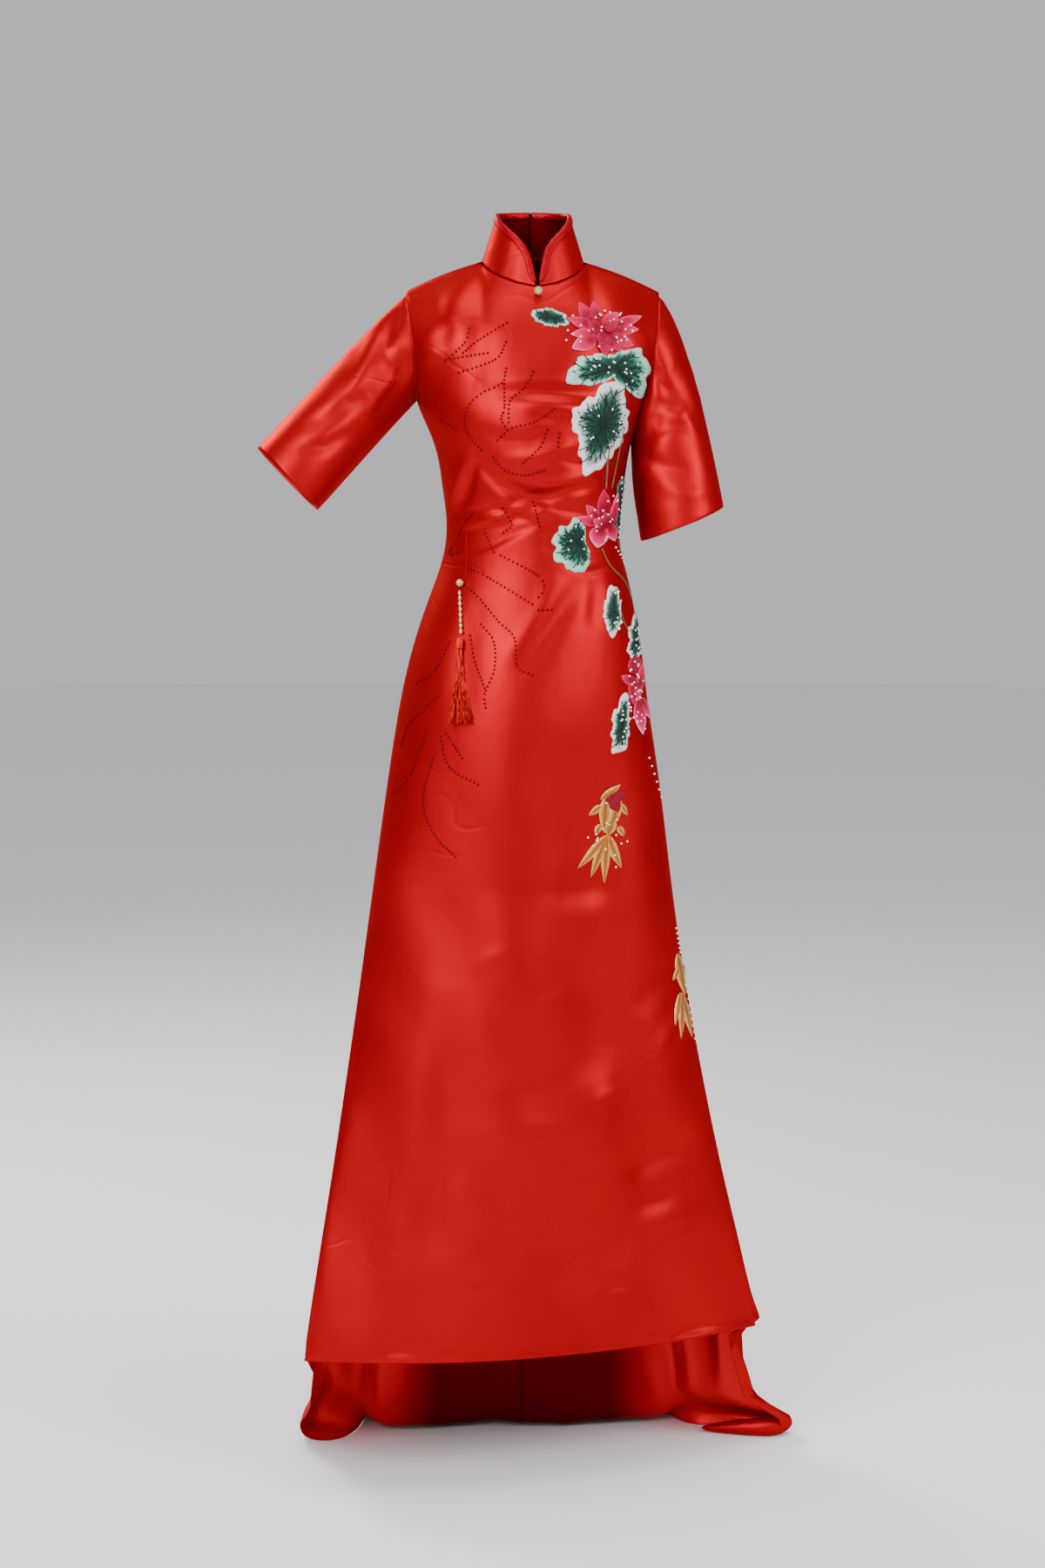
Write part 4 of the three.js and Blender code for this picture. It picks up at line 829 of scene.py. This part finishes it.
# ---- Embroidered lotus leaves ------------------------------------------------------------------
# Satin-stitched leaves with a silver or mint border, a dark green heart and near-black veins, sewn
# through the front over a little padding. The threads run from the heart to the edge.
LEAVES = {
    "leaf_1": ((14, -57), "mint", [(0, 20), (45, 11), (90, 11), (135, 14), (162, 24), (185, 21),
               (215, 13), (270, 11), (315, 15), (342, 24)]),
    "leaf_2": ((92, -118), "mint", [(0, 50), (30, 42), (60, 24), (90, 15), (120, 18), (150, 30),
               (170, 46), (185, 58), (196, 62), (210, 46), (230, 24), (270, 12), (300, 28),
               (314, 54), (326, 56), (342, 50)]),
    "leaf_3": ((78, -188), "silver", [(0, 36), (30, 38), (50, 46), (66, 62), (84, 50), (110, 36),
               (140, 38), (165, 42), (190, 38), (215, 36), (236, 52), (250, 64), (266, 58),
               (285, 42), (310, 36), (335, 34)]),
    "leaf_4": ((52, -333), "mint", [(0, 6), (40, 8), (80, 20), (100, 31), (125, 26), (150, 32),
               (172, 36), (192, 34), (214, 40), (238, 36), (262, 40), (286, 34), (310, 18),
               (335, 8)]),
    "leaf_5": ((95, -419), "silver", [(0, 10), (50, 14), (90, 31), (130, 16), (180, 13),
               (230, 18), (265, 33), (300, 20), (330, 12)]),
    "leaf_6": ((127, -458), "silver", [(0, 5), (55, 9), (85, 34), (110, 20), (180, 9),
               (235, 20), (262, 30), (290, 20), (325, 7)]),
    "leaf_7": ((105, -563), "silver", [(0, 9), (50, 14), (82, 40), (110, 22), (180, 12),
               (228, 20), (252, 36), (270, 34), (300, 18), (330, 11)]),
    "leaf_8": ((107, -290), "dark", [(0, 6), (60, 10), (88, 36), (120, 10), (180, 6), (240, 10),
               (268, 34), (300, 10)]),
}
LEAF = {"around": 96, "rings": 10, "lobes": 11, "ripples": 19, "lobe": 0.045, "lift": 0.5, "crown": 0.9}
# What is met further back than this is no longer the front, and the nearest cloth is taken.
BESIDE = 0.02
PADDING = 0.6 * MM


def cloth_at(x, z):
    """The place on the dress's front at (x, z) in millimetres, and the way out of it."""
    place, normal, *_ = cloth.ray_cast(Vector((x * MM, -1, z * MM)), Vector((0, 1, 0)))
    if place is None or place.y > BESIDE:
        place, normal, *_ = cloth.find_nearest(Vector((x * MM, 0, z * MM)))
    return place, normal


def on_cloth(x, z, lift=0.0):
    """The place at (x, z), lifted off the cloth, all in millimetres."""
    place, normal = cloth_at(x, z)
    return place + normal * lift * MM


def stitched(name, patches, finish, node=None):
    """One embroidered piece from grids of places with their depth of colour.

    The grid's columns run across the thread and its rows along it, and give the UV map.
    """
    corners, sides, spread, depths = [], [], [], []
    for number, grid in enumerate(patches):
        rows, columns = len(grid), len(grid[0])
        start = len(corners)
        for row in grid:
            for place, depth in row:
                corners.append(place)
                depths.append(depth)
        for i in range(rows - 1):
            for j in range(columns - 1):
                square = [(i, j), (i, j + 1), (i + 1, j + 1), (i + 1, j)]
                sides.append([start + a * columns + b for a, b in square])
                spread += [(number + b / (columns - 1), a / (rows - 1)) for a, b in square]
    mesh = bpy.data.meshes.new(name)
    mesh.from_pydata(corners, [], sides)
    mesh.uv_layers.new(name="thread").data.foreach_set("uv", np.array(spread).ravel())
    mesh.attributes.new("depth", "FLOAT", "POINT").data.foreach_set("value", depths)
    piece = bpy.data.objects.new(name, mesh)
    bpy.context.scene.collection.objects.link(piece)
    pick_only(piece)
    bpy.ops.object.mode_set(mode="EDIT")
    bpy.ops.mesh.select_all(action="SELECT")
    bpy.ops.mesh.remove_doubles(threshold=2e-6)
    bpy.ops.mesh.normals_make_consistent(inside=False)
    bpy.ops.object.mode_set(mode="OBJECT")
    backwards = sum(p.normal.y * p.area for p in piece.data.polygons)
    if backwards > 0:
        piece.data.flip_normals()
    use(piece, "SOLIDIFY", thickness=PADDING, offset=-1, use_rim=True)
    smooth(piece)
    finish.wear(piece)
    belong(piece, node)


def leaf_grid(centre, spokes, seed):
    """Rings from a leaf's heart to its wavy edge, whose reach is given at several angles."""
    angles = [math.radians(a) for a, _ in spokes]
    reaches = [r for _, r in spokes]
    angles = [angles[-1] - 2 * math.pi] + angles + [angles[0] + 2 * math.pi]
    reaches = [reaches[-1]] + reaches + [reaches[0]]
    grid = []
    for i in range(LEAF["rings"] + 1):
        share = i / LEAF["rings"]
        lift = LEAF["lift"] + LEAF["crown"] * (1 - share**4)
        row = []
        for j in range(LEAF["around"] + 1):
            angle = 2 * math.pi * j / LEAF["around"]
            k = next(n for n in range(1, len(angles)) if angles[n] >= angle - 1e-9)
            t = (angle - angles[k - 1]) / (angles[k] - angles[k - 1])
            reach = reaches[k - 1] * (1 - eased(t)) + reaches[k] * eased(t)
            ripple = 0.6 * math.sin(LEAF["ripples"] * angle + 2 * seed)
            lobe = math.sin(LEAF["lobes"] * angle + seed) + ripple
            reach *= 1 + LEAF["lobe"] * lobe * share
            x = centre[0] + share * reach * math.cos(angle)
            z = centre[1] + share * reach * math.sin(angle)
            row.append((on_cloth(x, z, lift), share))
        grid.append(row)
    return grid


CORD_STEP = 3.0


def curve_through(line, step):
    """Evenly spaced places on a smooth curve through a line of places."""
    line = [np.array(p, float) for p in line]
    line = [2 * line[0] - line[1]] + line + [2 * line[-1] - line[-2]]
    places = []
    for a, b, c, d in zip(line, line[1:], line[2:], line[3:]):
        count = max(2, round(np.linalg.norm(c - b) / step))
        for t in np.arange(count) / count:
            middle = (2 * b + (c - a) * t + (2 * a - 5 * b + 4 * c - d) * t**2
                      + (3 * b - a - 3 * c + d) * t**3) / 2
            places.append(middle)
    return places + [line[-2]]


def laid_cord(line, width, lift=0.3):
    """A grid for a raised cord that follows a line on the cloth."""
    path = [cloth_at(x, z) for x, z in curve_through(line, CORD_STEP)]
    grid = []
    for i, (place, normal) in enumerate(path):
        way = path[min(i + 1, len(path) - 1)][0] - path[max(i - 1, 0)][0]
        beside = way.cross(normal).normalized() * width / 2 * MM
        row = []
        for side in (-1, -0.7, 0, 0.7, 1):
            high = lift + 0.45 * width * math.sqrt(1 - side * side)
            row.append((place + beside * side + normal * high * MM, 0.5))
        grid.append(row)
    return grid


BORDERS = {
    "mint": ((0.36, 0.68, 0.55), (0.06, 0.25, 0.18), (0.015, 0.1, 0.06)),
    "silver": ((0.72, 0.75, 0.75), (0.26, 0.37, 0.33), (0.03, 0.12, 0.08)),
    "dark": ((0.1, 0.16, 0.14), (0.02, 0.05, 0.04), (0.02, 0.06, 0.05)),
}
leaf_finishes = {}
for border, (edge_colour, middle_colour, heart_colour) in BORDERS.items():
    leaf = Finish("leaf_thread_" + border, roughness=0.5, specular_ior_level=0.12)
    around, outward = leaf.across.part(0), leaf.across.part(1)
    wander = leaf.here.noise(90.0, 3.0)
    reach = outward + (wander - 0.5) * 0.3
    body_colour = reach.ramp(
        (0.0, (0.003, 0.022, 0.013)),
        (0.4, (0.008, 0.055, 0.032)),
        (0.58, heart_colour),
        (0.72, middle_colour),
        (0.84, edge_colour),
        (1.0, edge_colour),
    )
    turned = around * 9.0 + (wander - 0.5) * 0.35
    spoke = turned.maths("PINGPONG", turned, 0.5)
    vein = (1 - spoke.soft_step(0.02, 0.1)) * (1 - outward.soft_step(0.55, 0.78))
    thread = leaf.across.noise(1.0, 1.0, (420, 5, 1))
    body_colour = (vein * 0.92).mixed(body_colour, (0.004, 0.012, 0.01, 1))
    shaded = (thread * 0.35).mixed(body_colour, (0.01, 0.02, 0.02, 1))
    leaf.feed(base_color=shaded)
    leaf.bump(thread, 0.35 * MM, 0.8)
    leaf_finishes[border] = leaf

VEIN = {"wide": 1.8, "fine": 1.2, "reach": 0.74, "side": 0.26, "lean": 36, "lift": 1.25}


def veins(centre, spokes):
    """Lines from a leaf's heart towards its lobes, with short side veins, as (width, line)."""
    heart = np.array(centre, float)
    lines = []
    for angle, length in spokes:
        if length < 0.5 * max(r for _, r in spokes):
            continue
        way = np.array((math.cos(math.radians(angle)), math.sin(math.radians(angle))))
        end = VEIN["reach"] * length
        lines.append((VEIN["wide"], [heart, heart + way * end / 2, heart + way * end]))
        for share, hand in ((0.4, 1), (0.55, -1), (0.72, 1), (0.86, -1)):
            lean = math.radians(angle + hand * VEIN["lean"])
            foot = heart + way * end * share
            tip = foot + np.array((math.cos(lean), math.sin(lean))) * VEIN["side"] * length
            lines.append((VEIN["fine"], [foot, (foot + tip) / 2, tip]))
    return lines


for number, (node, (centre, border, spokes)) in enumerate(LEAVES.items()):
    grid = leaf_grid(centre, spokes, seed=number * 1.7)
    stitched(node + "_stitched", [grid], leaf_finishes[border], node)

vein_silk = Finish("vein_thread", roughness=0.5, specular_ior_level=0.1)
vein_colours = (0.002, 0.006, 0.005, 1), (0.012, 0.03, 0.024, 1)
vein_silk.feed(base_color=vein_silk.here.noise(300.0).mixed(*vein_colours))
vein_silk.bump(vein_silk.across.noise(1.0, 1.0, (4, 60, 1)), 0.2 * MM)
vein_grids = [
    laid_cord(line, width, VEIN["lift"])
    for centre, _, spokes in LEAVES.values()
    for width, line in veins(centre, spokes)
]
stitched("veins_stitched", vein_grids, vein_silk)

# ---- Embroidered lotus flowers -----------------------------------------------------------------
# Long pointed petals in satin stitch, crimson at the heart and pale pink at the edge, laid over
# each other and sewn through the front.
LOTUSES = {
    "lotus_1": [
        (66, -66, 32, 18, 118, 0.75), (73, -62, 26, 16, 98, 0.8), (80, -70, 28, 18, 44, 0.45),
        (92, -68, 42, 13, 19, 0.3), (90, -73, 36, 14, 3, 0.35), (88, -79, 32, 17, -22, 0.5),
        (70, -70, 38, 15, 162, 0.65), (72, -81, 36, 21, 204, 0.2), (72, -76, 34, 13, 184, 0.3),
        (82, -80, 24, 18, 268, 0.85), (86, -80, 24, 16, 308, 0.8), (77, -73, 20, 15, 152, 1.0),
        (80, -71, 20, 16, 22, 1.0), (81, -75, 17, 16, 250, 1.0),
    ],
    "lotus_2": [
        (84, -306, 38, 20, 92, 0.9), (76, -308, 27, 14, 130, 0.55), (75, -311, 30, 12, 166, 0.25),
        (93, -318, 48, 11, 77, 0.3), (87, -320, 24, 18, 96, 1.0), (78, -314, 28, 27, 262, 0.05),
        (90, -312, 24, 17, 292, 0.1), (82, -314, 16, 14, 150, 0.5),
    ],
    "lotus_3": [
        (126, -502, 28, 22, 95, 0.95), (123, -512, 22, 12, 150, 0.6), (130, -522, 34, 14, 80, 0.6),
        (122, -503, 36, 16, 268, 0.9), (113, -500, 40, 7, 296, 0.3), (134, -500, 40, 7, 262, 0.35),
        (127, -532, 46, 18, 279, 0.05), (130, -530, 34, 12, 300, 0.15),
    ],
}
PETAL = {"rows": 14, "columns": 8, "lift": 0.5, "crown": 1.0, "layer": 0.16, "fullest": 0.78}


def petal_grid(x, z, length, width, turn, depth, layer, bend=0.0):
    """Rows from a petal's foot to its tip, full in the middle and pointed at the tip."""
    along = (math.cos(math.radians(turn)), math.sin(math.radians(turn)))
    grid = []
    for i in range(PETAL["rows"] + 1):
        share = i / PETAL["rows"]
        half = width / 2 * math.sin(math.pi * share ** PETAL["fullest"]) ** 0.85 + 0.05
        row = []
        for j in range(PETAL["columns"] + 1):
            side = 2 * j / PETAL["columns"] - 1
            out = side * half + bend * share * share
            crown = PETAL["crown"] * (1 - side**2) * math.sin(math.pi * share) ** 0.5
            lift = PETAL["lift"] + layer * PETAL["layer"] + crown
            px = x + along[0] * share * length - along[1] * out
            pz = z + along[1] * share * length + along[0] * out
            row.append((on_cloth(px, pz, lift), depth))
        grid.append(row)
    return grid


def to_edge(finish):
    """0 along the middle of a petal and 1 along both of its sides."""
    number_and_side = finish.across.part(0)
    return (number_and_side.maths("FRACT", number_and_side) - 0.5).size() * 2.0


petal_silk = Finish("lotus_thread", roughness=0.45, specular_ior_level=0.12)
outward = petal_silk.across.part(1)
edge_near = to_edge(petal_silk)
depth = petal_silk.here.add("ShaderNodeAttribute", {"attribute_name": "depth"}, {}, out=2)
rim = edge_near * edge_near
paleness = (outward * outward * 0.75 + rim * rim * 0.6) * (1.1 - depth * 0.85)
paleness = paleness + (petal_silk.here.noise(120.0, 2.0) - 0.5) * 0.3
petal_colour = paleness.ramp(
    (0.0, (0.18, 0.0, 0.01)),
    (0.2, (0.5, 0.001, 0.05)),
    (0.46, (0.72, 0.007, 0.12)),
    (0.74, (0.9, 0.11, 0.34)),
    (1.0, (0.96, 0.64, 0.77)),
)
thread = petal_silk.across.noise(1.0, 1.0, (60, 3, 1))
petal_silk.feed(base_color=(thread * 0.25).mixed(petal_colour, (0.3, 0.0, 0.04, 1)))
petal_silk.bump(thread, 0.35 * MM, 0.8)

for node, petals in LOTUSES.items():
    grids = [petal_grid(*petal, layer) for layer, petal in enumerate(petals)]
    stitched(node + "_stitched", grids, petal_silk, node)

# ---- Embroidered goldfish ----------------------------------------------------------------------
# Two goldfish in gold thread with split tails, the larger with a dark red cap on its head, sewn
# through the front above and beside the hem.
FISHES = {
    "goldfish_1": [
        (86, -700, 56, 12, 229, 0.2, -3), (86, -700, 58, 12, 246, 0.3, 2), (86, -700, 62, 12, 264, 0.25, 3),
        (87, -700, 46, 13, 286, 0.3, 5), (79, -662, 22, 9, 216, 0.35, 0), (103, -662, 18, 8, 302, 0.35, 0),
        (77, -686, 16, 9, 242, 0.35, 0), (100, -690, 15, 9, 300, 0.35, 0), (84, -652, 46, 15, 263, 0.1, 3),
        (101, -652, 44, 15, 258, 0.1, -3), (92, -680, 22, 17, 254, 0.15, 0), (76, -655, 32, 11, 28, 0.1, 3),
    ],
    "goldfish_2": [
        (190, -912, 62, 10, 282, 0.2, 2), (189, -912, 58, 10, 270, 0.3, -2), (186, -912, 40, 8, 258, 0.3, 0),
        (184, -862, 56, 14, 279, 0.1, 2), (186, -880, 18, 7, 236, 0.35, 0), (190, -880, 16, 7, 318, 0.35, 0),
    ],
}
gold_silk = Finish("gold_thread", metallic=0.5, roughness=0.38, specular_ior_level=0.15)
scale_mark = gold_silk.here.noise(260.0, 2.0)
thread = gold_silk.across.noise(1.0, 1.0, (40, 3, 1))
glow = to_edge(gold_silk) * 0.7 + thread * 0.4
gold_colour = glow.ramp(
    (0.15, (0.17, 0.045, 0.008)),
    (0.4, (0.42, 0.16, 0.03)),
    (0.75, (0.7, 0.35, 0.08)),
    (1.0, (0.88, 0.57, 0.19)),
)
gold_silk.feed(base_color=(scale_mark.soft_step(0.52, 0.7) * 0.5).mixed(gold_colour, (0.28, 0.06, 0.02, 1)))
gold_silk.bump(thread * 0.6 + scale_mark * 0.6, 0.4 * MM, 0.8)
cap_silk = Finish("fish_cap_thread", roughness=0.5, specular_ior_level=0.1)
cap_silk.feed(base_color=cap_silk.here.noise(200.0).mixed((0.1, 0.0, 0.008, 1), (0.3, 0.004, 0.02, 1)))
cap_silk.bump(cap_silk.here.noise(500.0), 0.3 * MM)

for node, petals in FISHES.items():
    grids = [petal_grid(*petal[:6], layer * 0.6, petal[6]) for layer, petal in enumerate(petals)]
    stitched(node + "_stitched", grids, gold_silk, node)
cap = [petal_grid(82, -656, 30, 17, 12, 1.0, 9), petal_grid(92, -654, 20, 15, 292, 1.0, 10)]
stitched("goldfish_cap_stitched", cap, cap_silk)

# ---- Stems -------------------------------------------------------------------------------------
# Couched olive-brown cords that tie the leaves and flowers together, a few threads thick.
STEMS = [
    (2.4, (108, -191), (101, -228), (93, -268)),
    (3.0, (89, -208), (86, -236), (85, -268)),
    (2.0, (85, -88), (84, -104), (88, -118)),
    (2.0, (96, -88), (100, -98), (103, -108)),
    (2.2, (80, -342), (92, -364), (112, -384), (122, -404), (128, -430)),
    (2.0, (104, -334), (116, -370), (124, -410), (127, -432)),
    (1.8, (106, -424), (112, -440), (120, -452)),
]
stem_silk = Finish("stem_thread", roughness=0.6, specular_ior_level=0.12)
stem_colours = (0.05, 0.03, 0.012, 1), (0.22, 0.15, 0.07, 1)
stem_silk.feed(base_color=stem_silk.here.noise(160.0, 2.0).mixed(*stem_colours))
stem_silk.bump(stem_silk.across.noise(1.0, 1.0, (4, 90, 1)), 0.3 * MM)
stitched("stems_stitched", [laid_cord(line, width) for width, *line in STEMS], stem_silk)

# ---- Sewn darts --------------------------------------------------------------------------------
# The bust dart and the waist darts show as fine ridges where the cloth is folded under.
DARTS = [
    (1.1, (-131, -182), (-122, -160), (-113, -138)),
    (1.1, (-91, -170), (-87, -260), (-90, -380)),
]
dart_satin = [laid_cord(line, width, lift=-0.2) for width, *line in DARTS]
stitched("darts_stitched", dart_satin, satin)

# ---- Pearls ------------------------------------------------------------------------------------
# Some 240 small white glass pearls, sewn on one by one over and around the embroidery.
PEARL = {"radius": 1.35, "lift": 1.9}
SCATTERS = [
    # middle x, z, reach across, reach up, turn, count
    (76, -72, 52, 26, 0, 34), (62, -116, 30, 10, 8, 14), (110, -124, 34, 20, -40, 16),
    (80, -180, 30, 42, 20, 16), (84, -300, 20, 34, -10, 18), (40, -336, 18, 30, 0, 9),
    (99, -420, 8, 26, 0, 12), (130, -462, 8, 24, 0, 12), (124, -510, 12, 26, 0, 22),
    (107, -566, 8, 32, -10, 16), (128, -560, 10, 22, 0, 8), (84, -700, 26, 46, 15, 17),
]
BEADED_LINES = [
    (7.0, (107, -254), (108, -290), (105, -330)), (5.0, (100, -342), (110, -356), (116, -368)),
    (10.0, (143, -608), (158, -650), (173, -691)), (7.0, (182, -830), (186, -850), (188, -862)),
    (9.0, (196, -905), (202, -940), (208, -975)),
]


def beads(name, spots, radius, roundness, finish):
    """One piece of many small balls at places on the cloth."""
    bpy.ops.object.select_all(action="DESELECT")
    bpy.ops.mesh.primitive_ico_sphere_add(subdivisions=roundness, radius=radius * MM)
    ball = bpy.context.object
    ball_points, _ = places(ball)
    ball_sides = [list(p.vertices) for p in ball.data.polygons]
    bpy.data.objects.remove(ball)
    corners, sides = [], []
    for x, z, lift in spots:
        place = on_cloth(x, z, lift)
        sides += [[len(corners) + i for i in side] for side in ball_sides]
        corners += [place + Vector(p) for p in ball_points]
    mesh = bpy.data.meshes.new(name)
    mesh.from_pydata(corners, [], sides)
    piece = bpy.data.objects.new(name, mesh)
    bpy.context.scene.collection.objects.link(piece)
    finish.wear(piece)
    belong(piece)
    return piece


chance = np.random.default_rng(7)
pearl_spots = []
for x, z, wide, high, lean, count in SCATTERS:
    for _ in range(count):
        reach, angle = math.sqrt(chance.random()), chance.random() * 2 * math.pi
        a, b = wide * reach * math.cos(angle), high * reach * math.sin(angle)
        lean_cos, lean_sin = math.cos(math.radians(lean)), math.sin(math.radians(lean))
        pearl_spots.append((x + a * lean_cos - b * lean_sin, z + a * lean_sin + b * lean_cos, PEARL["lift"]))
for gap, *line in BEADED_LINES:
    pearl_spots += [(*place, PEARL["radius"]) for place in curve_through(line, gap)]
nacre = Finish("white_pearl", roughness=0.16, coat_weight=0.5, coat_roughness=0.08)
nacre.feed(base_color=nacre.here.noise(300.0).mixed((0.82, 0.84, 0.82, 1), (0.95, 0.9, 0.86, 1)))
smooth(beads("pearls", pearl_spots, PEARL["radius"], 2, nacre))

# ---- Crystal plumes ----------------------------------------------------------------------------
# Lines of small dark red cut crystals, heat-fixed in long curling plumes down one side.
CRYSTAL = {"radius": 1.5, "gap": 5.2, "lift": 0.5}
PLUMES = [
    [(-40, -64), (-76, -86), (-94, -101)], [(-86, -71), (-92, -88), (-115, -111)],
    [(-42, -88), (-55, -109), (-99, -125)], [(-64, -101), (-115, -109)],
    [(-42, -120), (-48, -138), (-73, -151), (-89, -168), (-91, -195), (-73, -220)],
    [(-45, -134), (-45, -168), (-49, -182), (-42, -195)],
    [(-9, -124), (-19, -143), (-38, -160), (-40, -186)], [(17, -170), (-9, -186), (-36, -193), (-53, -208)],
    [(8, -195), (-1, -216), (-22, -236)], [(23, -199), (21, -216)],
    [(-58, -229), (-44, -245), (-19, -251), (4, -245)], [(-121, -184), (-103, -195)],
    [(-82, -298), (-92, -315), (-108, -349), (-94, -345)], [(-66, -323), (-56, -346)],
    [(-45, -292), (-34, -312), (-44, -322)], [(-8, -284), (0, -314)],
    [(-48, -350), (-2, -375), (5, -391), (-2, -401)], [(-91, -364), (-64, -377), (-10, -410)],
    [(-3, -417), (15, -417)], [(-91, -387), (-73, -405), (-51, -432), (-33, -451), (-30, -486), (-11, -497)],
    [(-73, -435), (-58, -456), (-58, -490), (-70, -520), (-69, -537)],
    [(-86, -449), (-81, -481), (-70, -513)],
    [(-111, -458), (-130, -494), (-151, -510)], [(-127, -526), (-160, -560), (-171, -588)],
    [(-140, -569), (-161, -624), (-180, -650)], [(-133, -601), (-146, -656), (-131, -698), (-107, -722)],
    [(-124, -574), (-114, -611), (-79, -632)], [(-117, -571), (-98, -600)],
]
crystal_spots = [
    (*place, CRYSTAL["lift"]) for line in PLUMES for place in curve_through(line, CRYSTAL["gap"])
]
garnet = Finish("dark_red_crystal", specular_ior_level=0.08, roughness=0.3)
garnet.feed(base_color=garnet.here.noise(400.0).mixed((0.035, 0.0, 0.001, 1), (0.14, 0.0, 0.003, 1)))
beads("crystals", crystal_spots, CRYSTAL["radius"], 1, garnet)

# ---- Button, bead drop and tassel --------------------------------------------------------------
# A crackled gold glass ball closes the collar. From the hip hangs a copper-gold bead, a string of
# small beads and a red silk tassel with a wrapped head.
ball_gold = Finish("gold_glass", metallic=0.75, roughness=0.22, coat_weight=0.4)
crackle = ball_gold.here.add(
    "ShaderNodeTexVoronoi", {"feature": "DISTANCE_TO_EDGE"}, {"Vector": ball_gold.here, "Scale": 330.0}
)
lines = crackle.soft_step(0.0, 0.12)
ball_gold.feed(base_color=lines.mixed((0.3, 0.13, 0.03, 1), (0.86, 0.6, 0.26, 1)))
ball_gold.bump(lines, 0.4 * MM)
silk_red = Finish("tassel_silk", roughness=0.5, specular_ior_level=0.1)
# Painted shade: strands are painted darker or lighter at random across the tassel, standing in for the shade
# between strands of one red silk.
painted_strand_shade = silk_red.here.noise(380.0, 2.0, (1, 1, 0.06)).soft_step(0.35, 0.65)
silk_red.feed(base_color=painted_strand_shade.mixed((0.2, 0.0, 0.002, 1), (0.85, 0.016, 0.01, 1)))
silk_red.bump(silk_red.here.noise(700.0, 2.0, (1, 1, 0.05)), 0.2 * MM)
for node in ("button", "drop_big_bead", "drop_bead_string"):
    trinket = merged_copy(node + "_glass", node)
    use(trinket, "SUBSURF", levels=1, render_levels=1)
    smooth(trinket)
    ball_gold.wear(trinket)
    belong(trinket, node)

TASSEL = {
    "strands": 190, "head": 13.5, "neck": 2.6, "radius": 0.42, "rings": 9, "turns": (0.3, 2.4, 4.5),
    "spread": 1.15, "foot": 6, "uneven": 4.5, "stray": 1.1, "root": 5.2,
}
WRAP = {"turns": 5, "steps": 24, "first": 3.4, "apart": 0.75, "reach": 3.7, "thick": 0.45}
knot_points = places(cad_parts["tassel"])[0] / MM
knot_top, knot_foot = knot_points[:, 2].max(), knot_points[:, 2].min()
head = knot_points[knot_points[:, 2] > knot_top - TASSEL["head"]]
head_middle = (head.max(axis=0) + head.min(axis=0)) / 2
foot = knot_points[knot_points[:, 2] < knot_foot + TASSEL["foot"]]
foot_middle, foot_reach = (foot.max(axis=0) + foot.min(axis=0)) / 2, np.ptp(foot, axis=0) / 2

bpy.ops.object.select_all(action="DESELECT")
bpy.ops.mesh.primitive_uv_sphere_add(segments=20, ring_count=14, radius=4.2 * MM)
tassel = bpy.context.object
tassel.name = "tassel_silk"
bpy.ops.transform.resize(value=(1, 1, 1.55))
bpy.ops.object.transform_apply(location=True, rotation=True, scale=True)
knot = bmesh.new()
knot.from_mesh(tassel.data)
for vert in knot.verts:
    vert.co += Vector(head_middle) * MM
for turn_number in range(WRAP["turns"]):
    wrap_height = head_middle[2] - WRAP["first"] - WRAP["apart"] * turn_number
    for segment in range(WRAP["steps"]):
        ring = []
        for step in (segment, segment + 1):
            angle = 2 * math.pi * step / WRAP["steps"]
            way = Vector((math.cos(angle), math.sin(angle), 0))
            centre = Vector((head_middle[0], head_middle[1], wrap_height)) * MM + way * WRAP["reach"] * MM
            thick = WRAP["thick"] * MM
            ring.append([
                knot.verts.new(centre + (way * math.cos(a) + Vector((0, 0, math.sin(a)))) * thick)
                for a in (0, math.pi / 2, math.pi, -math.pi / 2)
            ])
        for k in range(4):
            knot.faces.new((ring[0][k], ring[1][k], ring[1][k - 3], ring[0][k - 3]))
for number in range(TASSEL["strands"]):
    angle, reach = chance.random() * 2 * math.pi, math.sqrt(chance.random())
    way = np.array((math.cos(angle) * reach, math.sin(angle) * reach, 0))
    start = head_middle + way * TASSEL["neck"] - (0, 0, TASSEL["root"])
    end = foot_middle + way * foot_reach * TASSEL["spread"]
    end[2] = knot_foot + chance.random() * TASSEL["uneven"]
    wander = chance.normal(size=2) * TASSEL["stray"]
    rings = []
    for i in range(TASSEL["rings"] + 1):
        share = i / TASSEL["rings"]
        place = start + (end - start) * np.array((share**1.5, share**1.5, share))
        place = place + np.array((wander[0], wander[1], 0)) * math.sin(2.5 * math.pi * share) * share
        rings.append([
            knot.verts.new(Vector(place) * MM + Vector((math.cos(a), math.sin(a), 0)) * TASSEL["radius"] * MM)
            for a in TASSEL["turns"]
        ])
    join_hoops(knot, rings)
bmesh.ops.remove_doubles(knot, verts=knot.verts, dist=1e-6)
bmesh.ops.recalc_face_normals(knot, faces=knot.faces)
knot.to_mesh(tassel.data)
knot.free()
smooth(tassel)
silk_red.wear(tassel)
belong(tassel, "tassel")

# ---- Zip ---------------------------------------------------------------------------------------
# A concealed zip in the centre back seam: only its slider and the small drop-shaped pull show,
# in red lacquered metal.
lacquer = Finish("zip_lacquer", metallic=0.8, roughness=0.34, specular_ior_level=0.2, coat_weight=0.1)
lacquer.feed(base_color=lacquer.here.noise(200.0).mixed((0.26, 0.002, 0.006, 1), (0.38, 0.005, 0.01, 1)))
lacquer.bump(lacquer.here.noise(900.0), 0.05 * MM)
for node in ("zip_slider", "zip_pull_tab"):
    lacquer.wear(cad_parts[node])

low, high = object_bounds()
